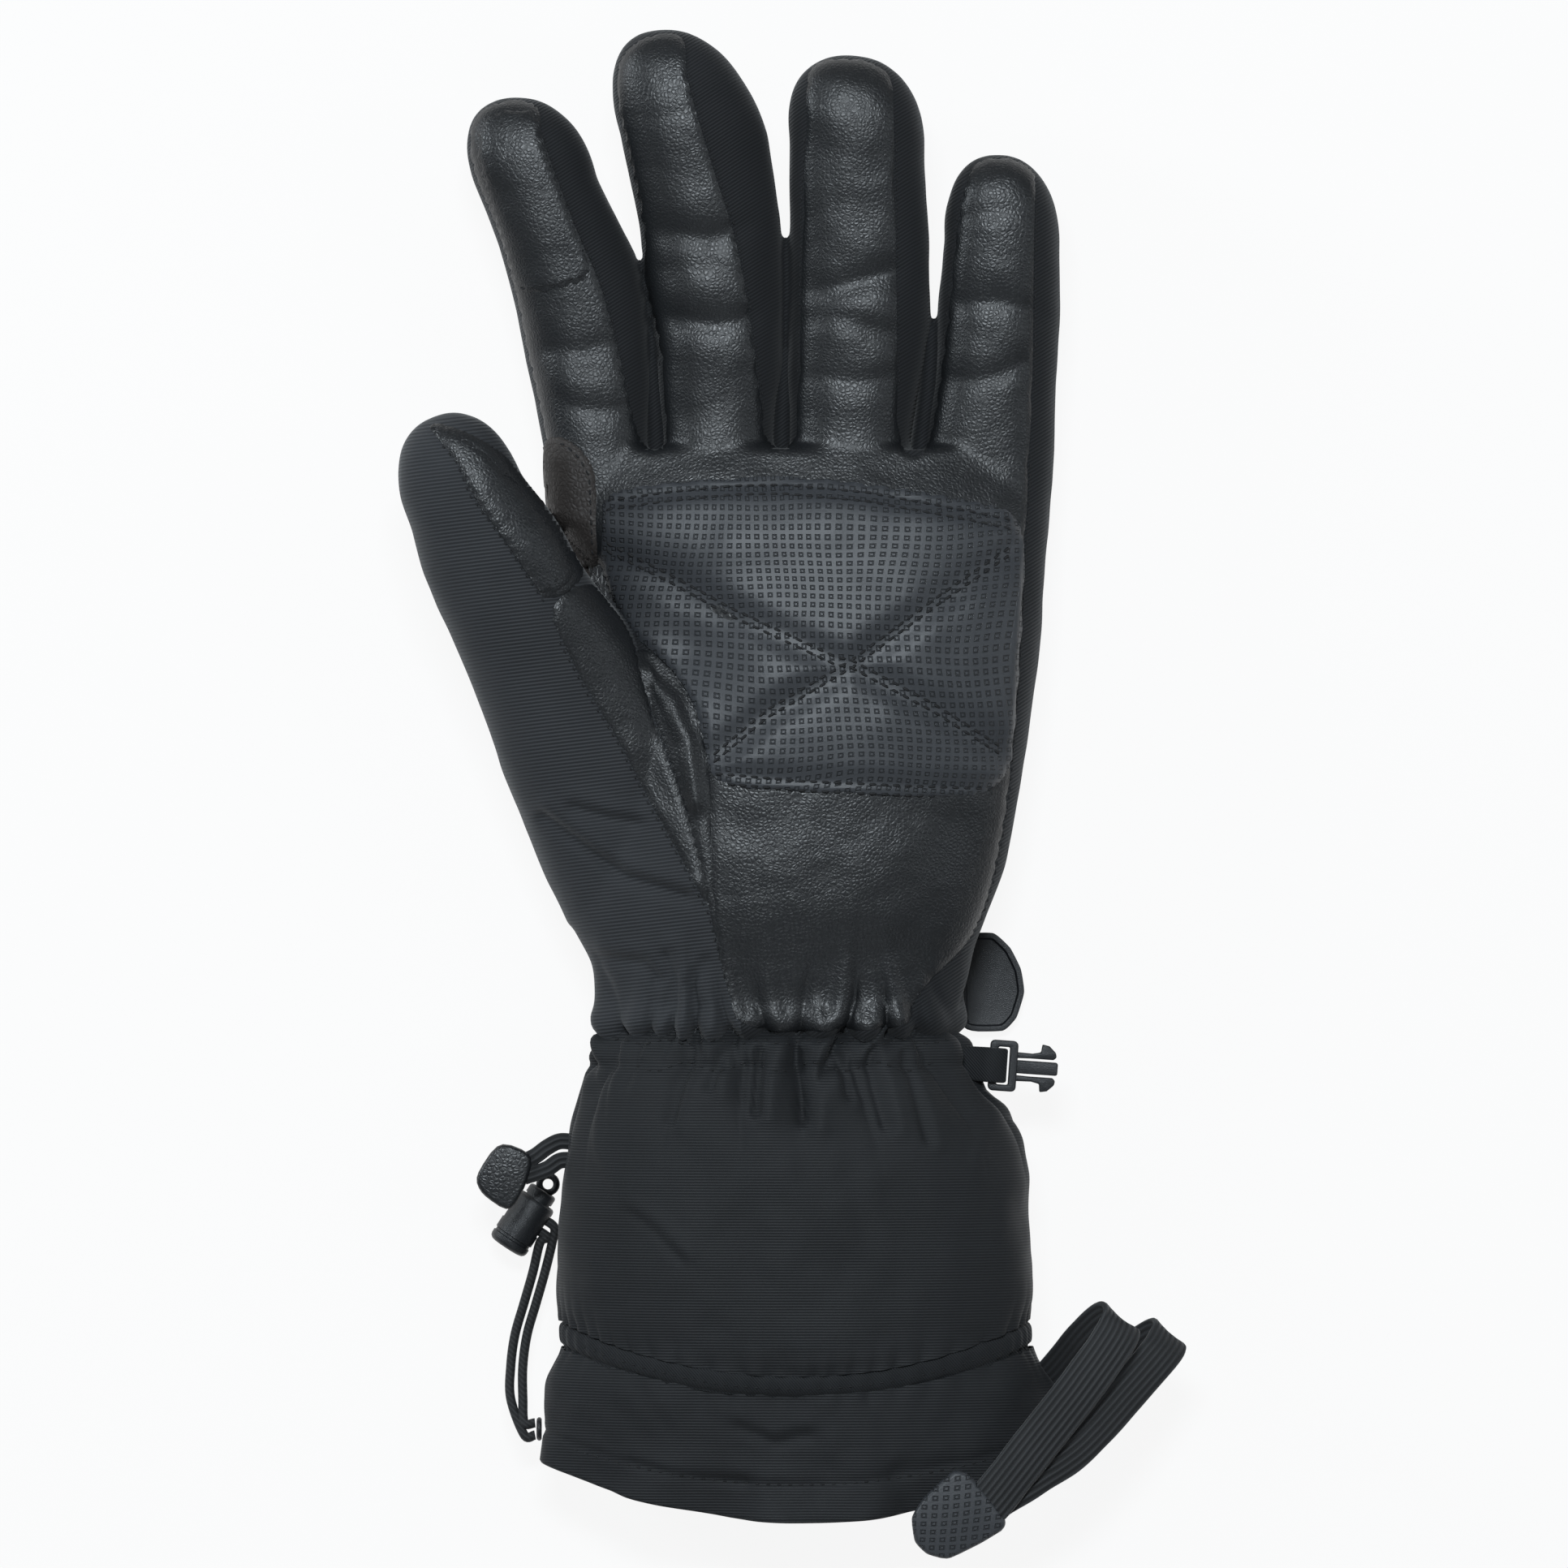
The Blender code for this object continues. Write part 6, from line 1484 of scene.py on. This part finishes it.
LOCK_AT = Vector((-61.4, -96.2, 7.0))
LOCK_AXIS = Vector((0.55, 0.835, 0)).normalized()
LOCK_SIDE = Vector((LOCK_AXIS.y, -LOCK_AXIS.x, 0))
BARREL = [(0.0, -6.3), (3.2, -6.3), (3.9, -6.15), (4.4, -5.7), (4.6, -5.1), (4.6, -4.2), (4.3, -4.0),
          (4.3, -3.5), (4.6, -3.3), (4.6, 5.4), (4.45, 6.0), (4.1, 6.3), (3.75, 6.25), (3.65, 6.0),
          (3.65, -4.7), (0.0, -4.7)]
PLUNGER = [(0.0, 0.0), (3.3, 0.0), (3.3, 8.3), (3.15, 8.7), (2.8, 8.9), (0.0, 8.9)]
SLOT_HALF_UP = 1.4
SLOT_REACH = 20.0
barrel = turned("cord_lock_barrel_moulded", BARREL, LOCK_AT, LOCK_AXIS, moulded)
cut_through(barrel, "barrel_slot", LOCK_AT + LOCK_AXIS * 2.0, LOCK_AXIS, 2.75, SLOT_HALF_UP, SLOT_REACH)
finished(barrel, "plastic", "glove", "cord_lock_barrel")
plunger = turned("cord_lock_plunger_moulded", PLUNGER, LOCK_AT, LOCK_AXIS, moulded)
cut_through(plunger, "plunger_slot", LOCK_AT + LOCK_AXIS * 3.0, LOCK_AXIS, 3.75, SLOT_HALF_UP, SLOT_REACH)
finished(plunger, "plastic", "plunger", "cord_lock_plunger")
eye_at = LOCK_AT + LOCK_AXIS * 10.6
turns = [k * math.pi / 12 for k in range(24)]
eye_line = [eye_at + LOCK_AXIS * 1.9 * math.cos(turn) + LOCK_SIDE * 1.9 * math.sin(turn) for turn in turns]
eye = finished(wire_loop("cord_lock_pull_eye", eye_line, 0.75, moulded), "plastic", "plunger")
SPRING_FLOOR, SPRING_TOP, SPRING_TURNS, SPRING_RADIUS = -4.1, -0.6, 3.5, 2.1
spring_line = []
for step in range(85):
    share = step / 84
    turn = 2 * math.pi * SPRING_TURNS * share
    out = LOCK_SIDE * math.cos(turn) + Vector((0, 0, 1)) * math.sin(turn)
    up = SPRING_FLOOR + (SPRING_TOP - SPRING_FLOOR) * share
    spring_line.append(LOCK_AT + LOCK_AXIS * up + out * SPRING_RADIUS)
spring = wire_loop("cord_lock_spring_coil", spring_line, 0.25, steel, LOCK_AXIS, closed=False)
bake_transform(spring)
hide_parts("cord_lock_spring")

EYELET_AT = Vector((-57.4, -141.5, 14.0))
EYELET = [(0.0, -0.6), (2.3, -0.6), (2.6, -0.3), (2.6, 0.1), (2.3, 0.45), (2.0, 0.5), (1.75, 0.3),
          (1.7, -0.2), (0.0, -0.2)]
eyelet = turned("hem_eyelet_moulded", EYELET, EYELET_AT, (-1, 0, 0), moulded)
finished(eyelet, "plastic", "glove", "hem_eyelet")


def across_lock(far, aside):
    return LOCK_AT + LOCK_AXIS * far + LOCK_SIDE * aside


STRAND = [Vector(p) for p in ((-56.0, -100.4, 7.0), (-57.6, -107.0, 7.0), (-59.6, -114.0, 7.0),
                              (-61.6, -121.0, 7.0), (-62.5, -128.0, 8.5), (-62.4, -135.0, 11.5))]
SPREAD = Vector((1.35, 0, 0))
CORD_RADIUS = 1.05
first = EYELET_AT + Vector((-0.85, -1.35, 0))
last = EYELET_AT + Vector((-0.85, 1.35, 0))
LEAD = Vector((-2.4, 0, 0))
route = [first, first + LEAD, *(p - SPREAD for p in STRAND[::-1]),
         *(across_lock(0.65, a) for a in (6.4, 2.2, -1.6)), across_lock(2.0, -2.95),
         *(across_lock(3.35, a) for a in (-1.6, 2.2, 6.4)), *(p + SPREAD for p in STRAND), last + LEAD, last]
route = smooth_line(route, 184)
braid = surface("braided_cord", rib, (0.007, 0.0075, 0.008), (0.030, 0.031, 0.033), (0.7, 0.82), 0.00012, 0.1,
                math.radians(38), Pitch=0.0009, Slub=0.2)
line = bpy.data.curves.new("drawcord_line", "CURVE")
line.dimensions = "3D"
line.bevel_depth = CORD_RADIUS * MM
line.bevel_resolution = 5
line.use_fill_caps = True
spline = line.splines.new("POLY")
spline.points.add(len(route) - 1)
for knot, point in zip(spline.points, route):
    knot.co = (*(point * MM), 1.0)
line.materials.append(braid)
cord = finished(linked("drawcord_braid", line), "elastic", "glove", "drawcord")
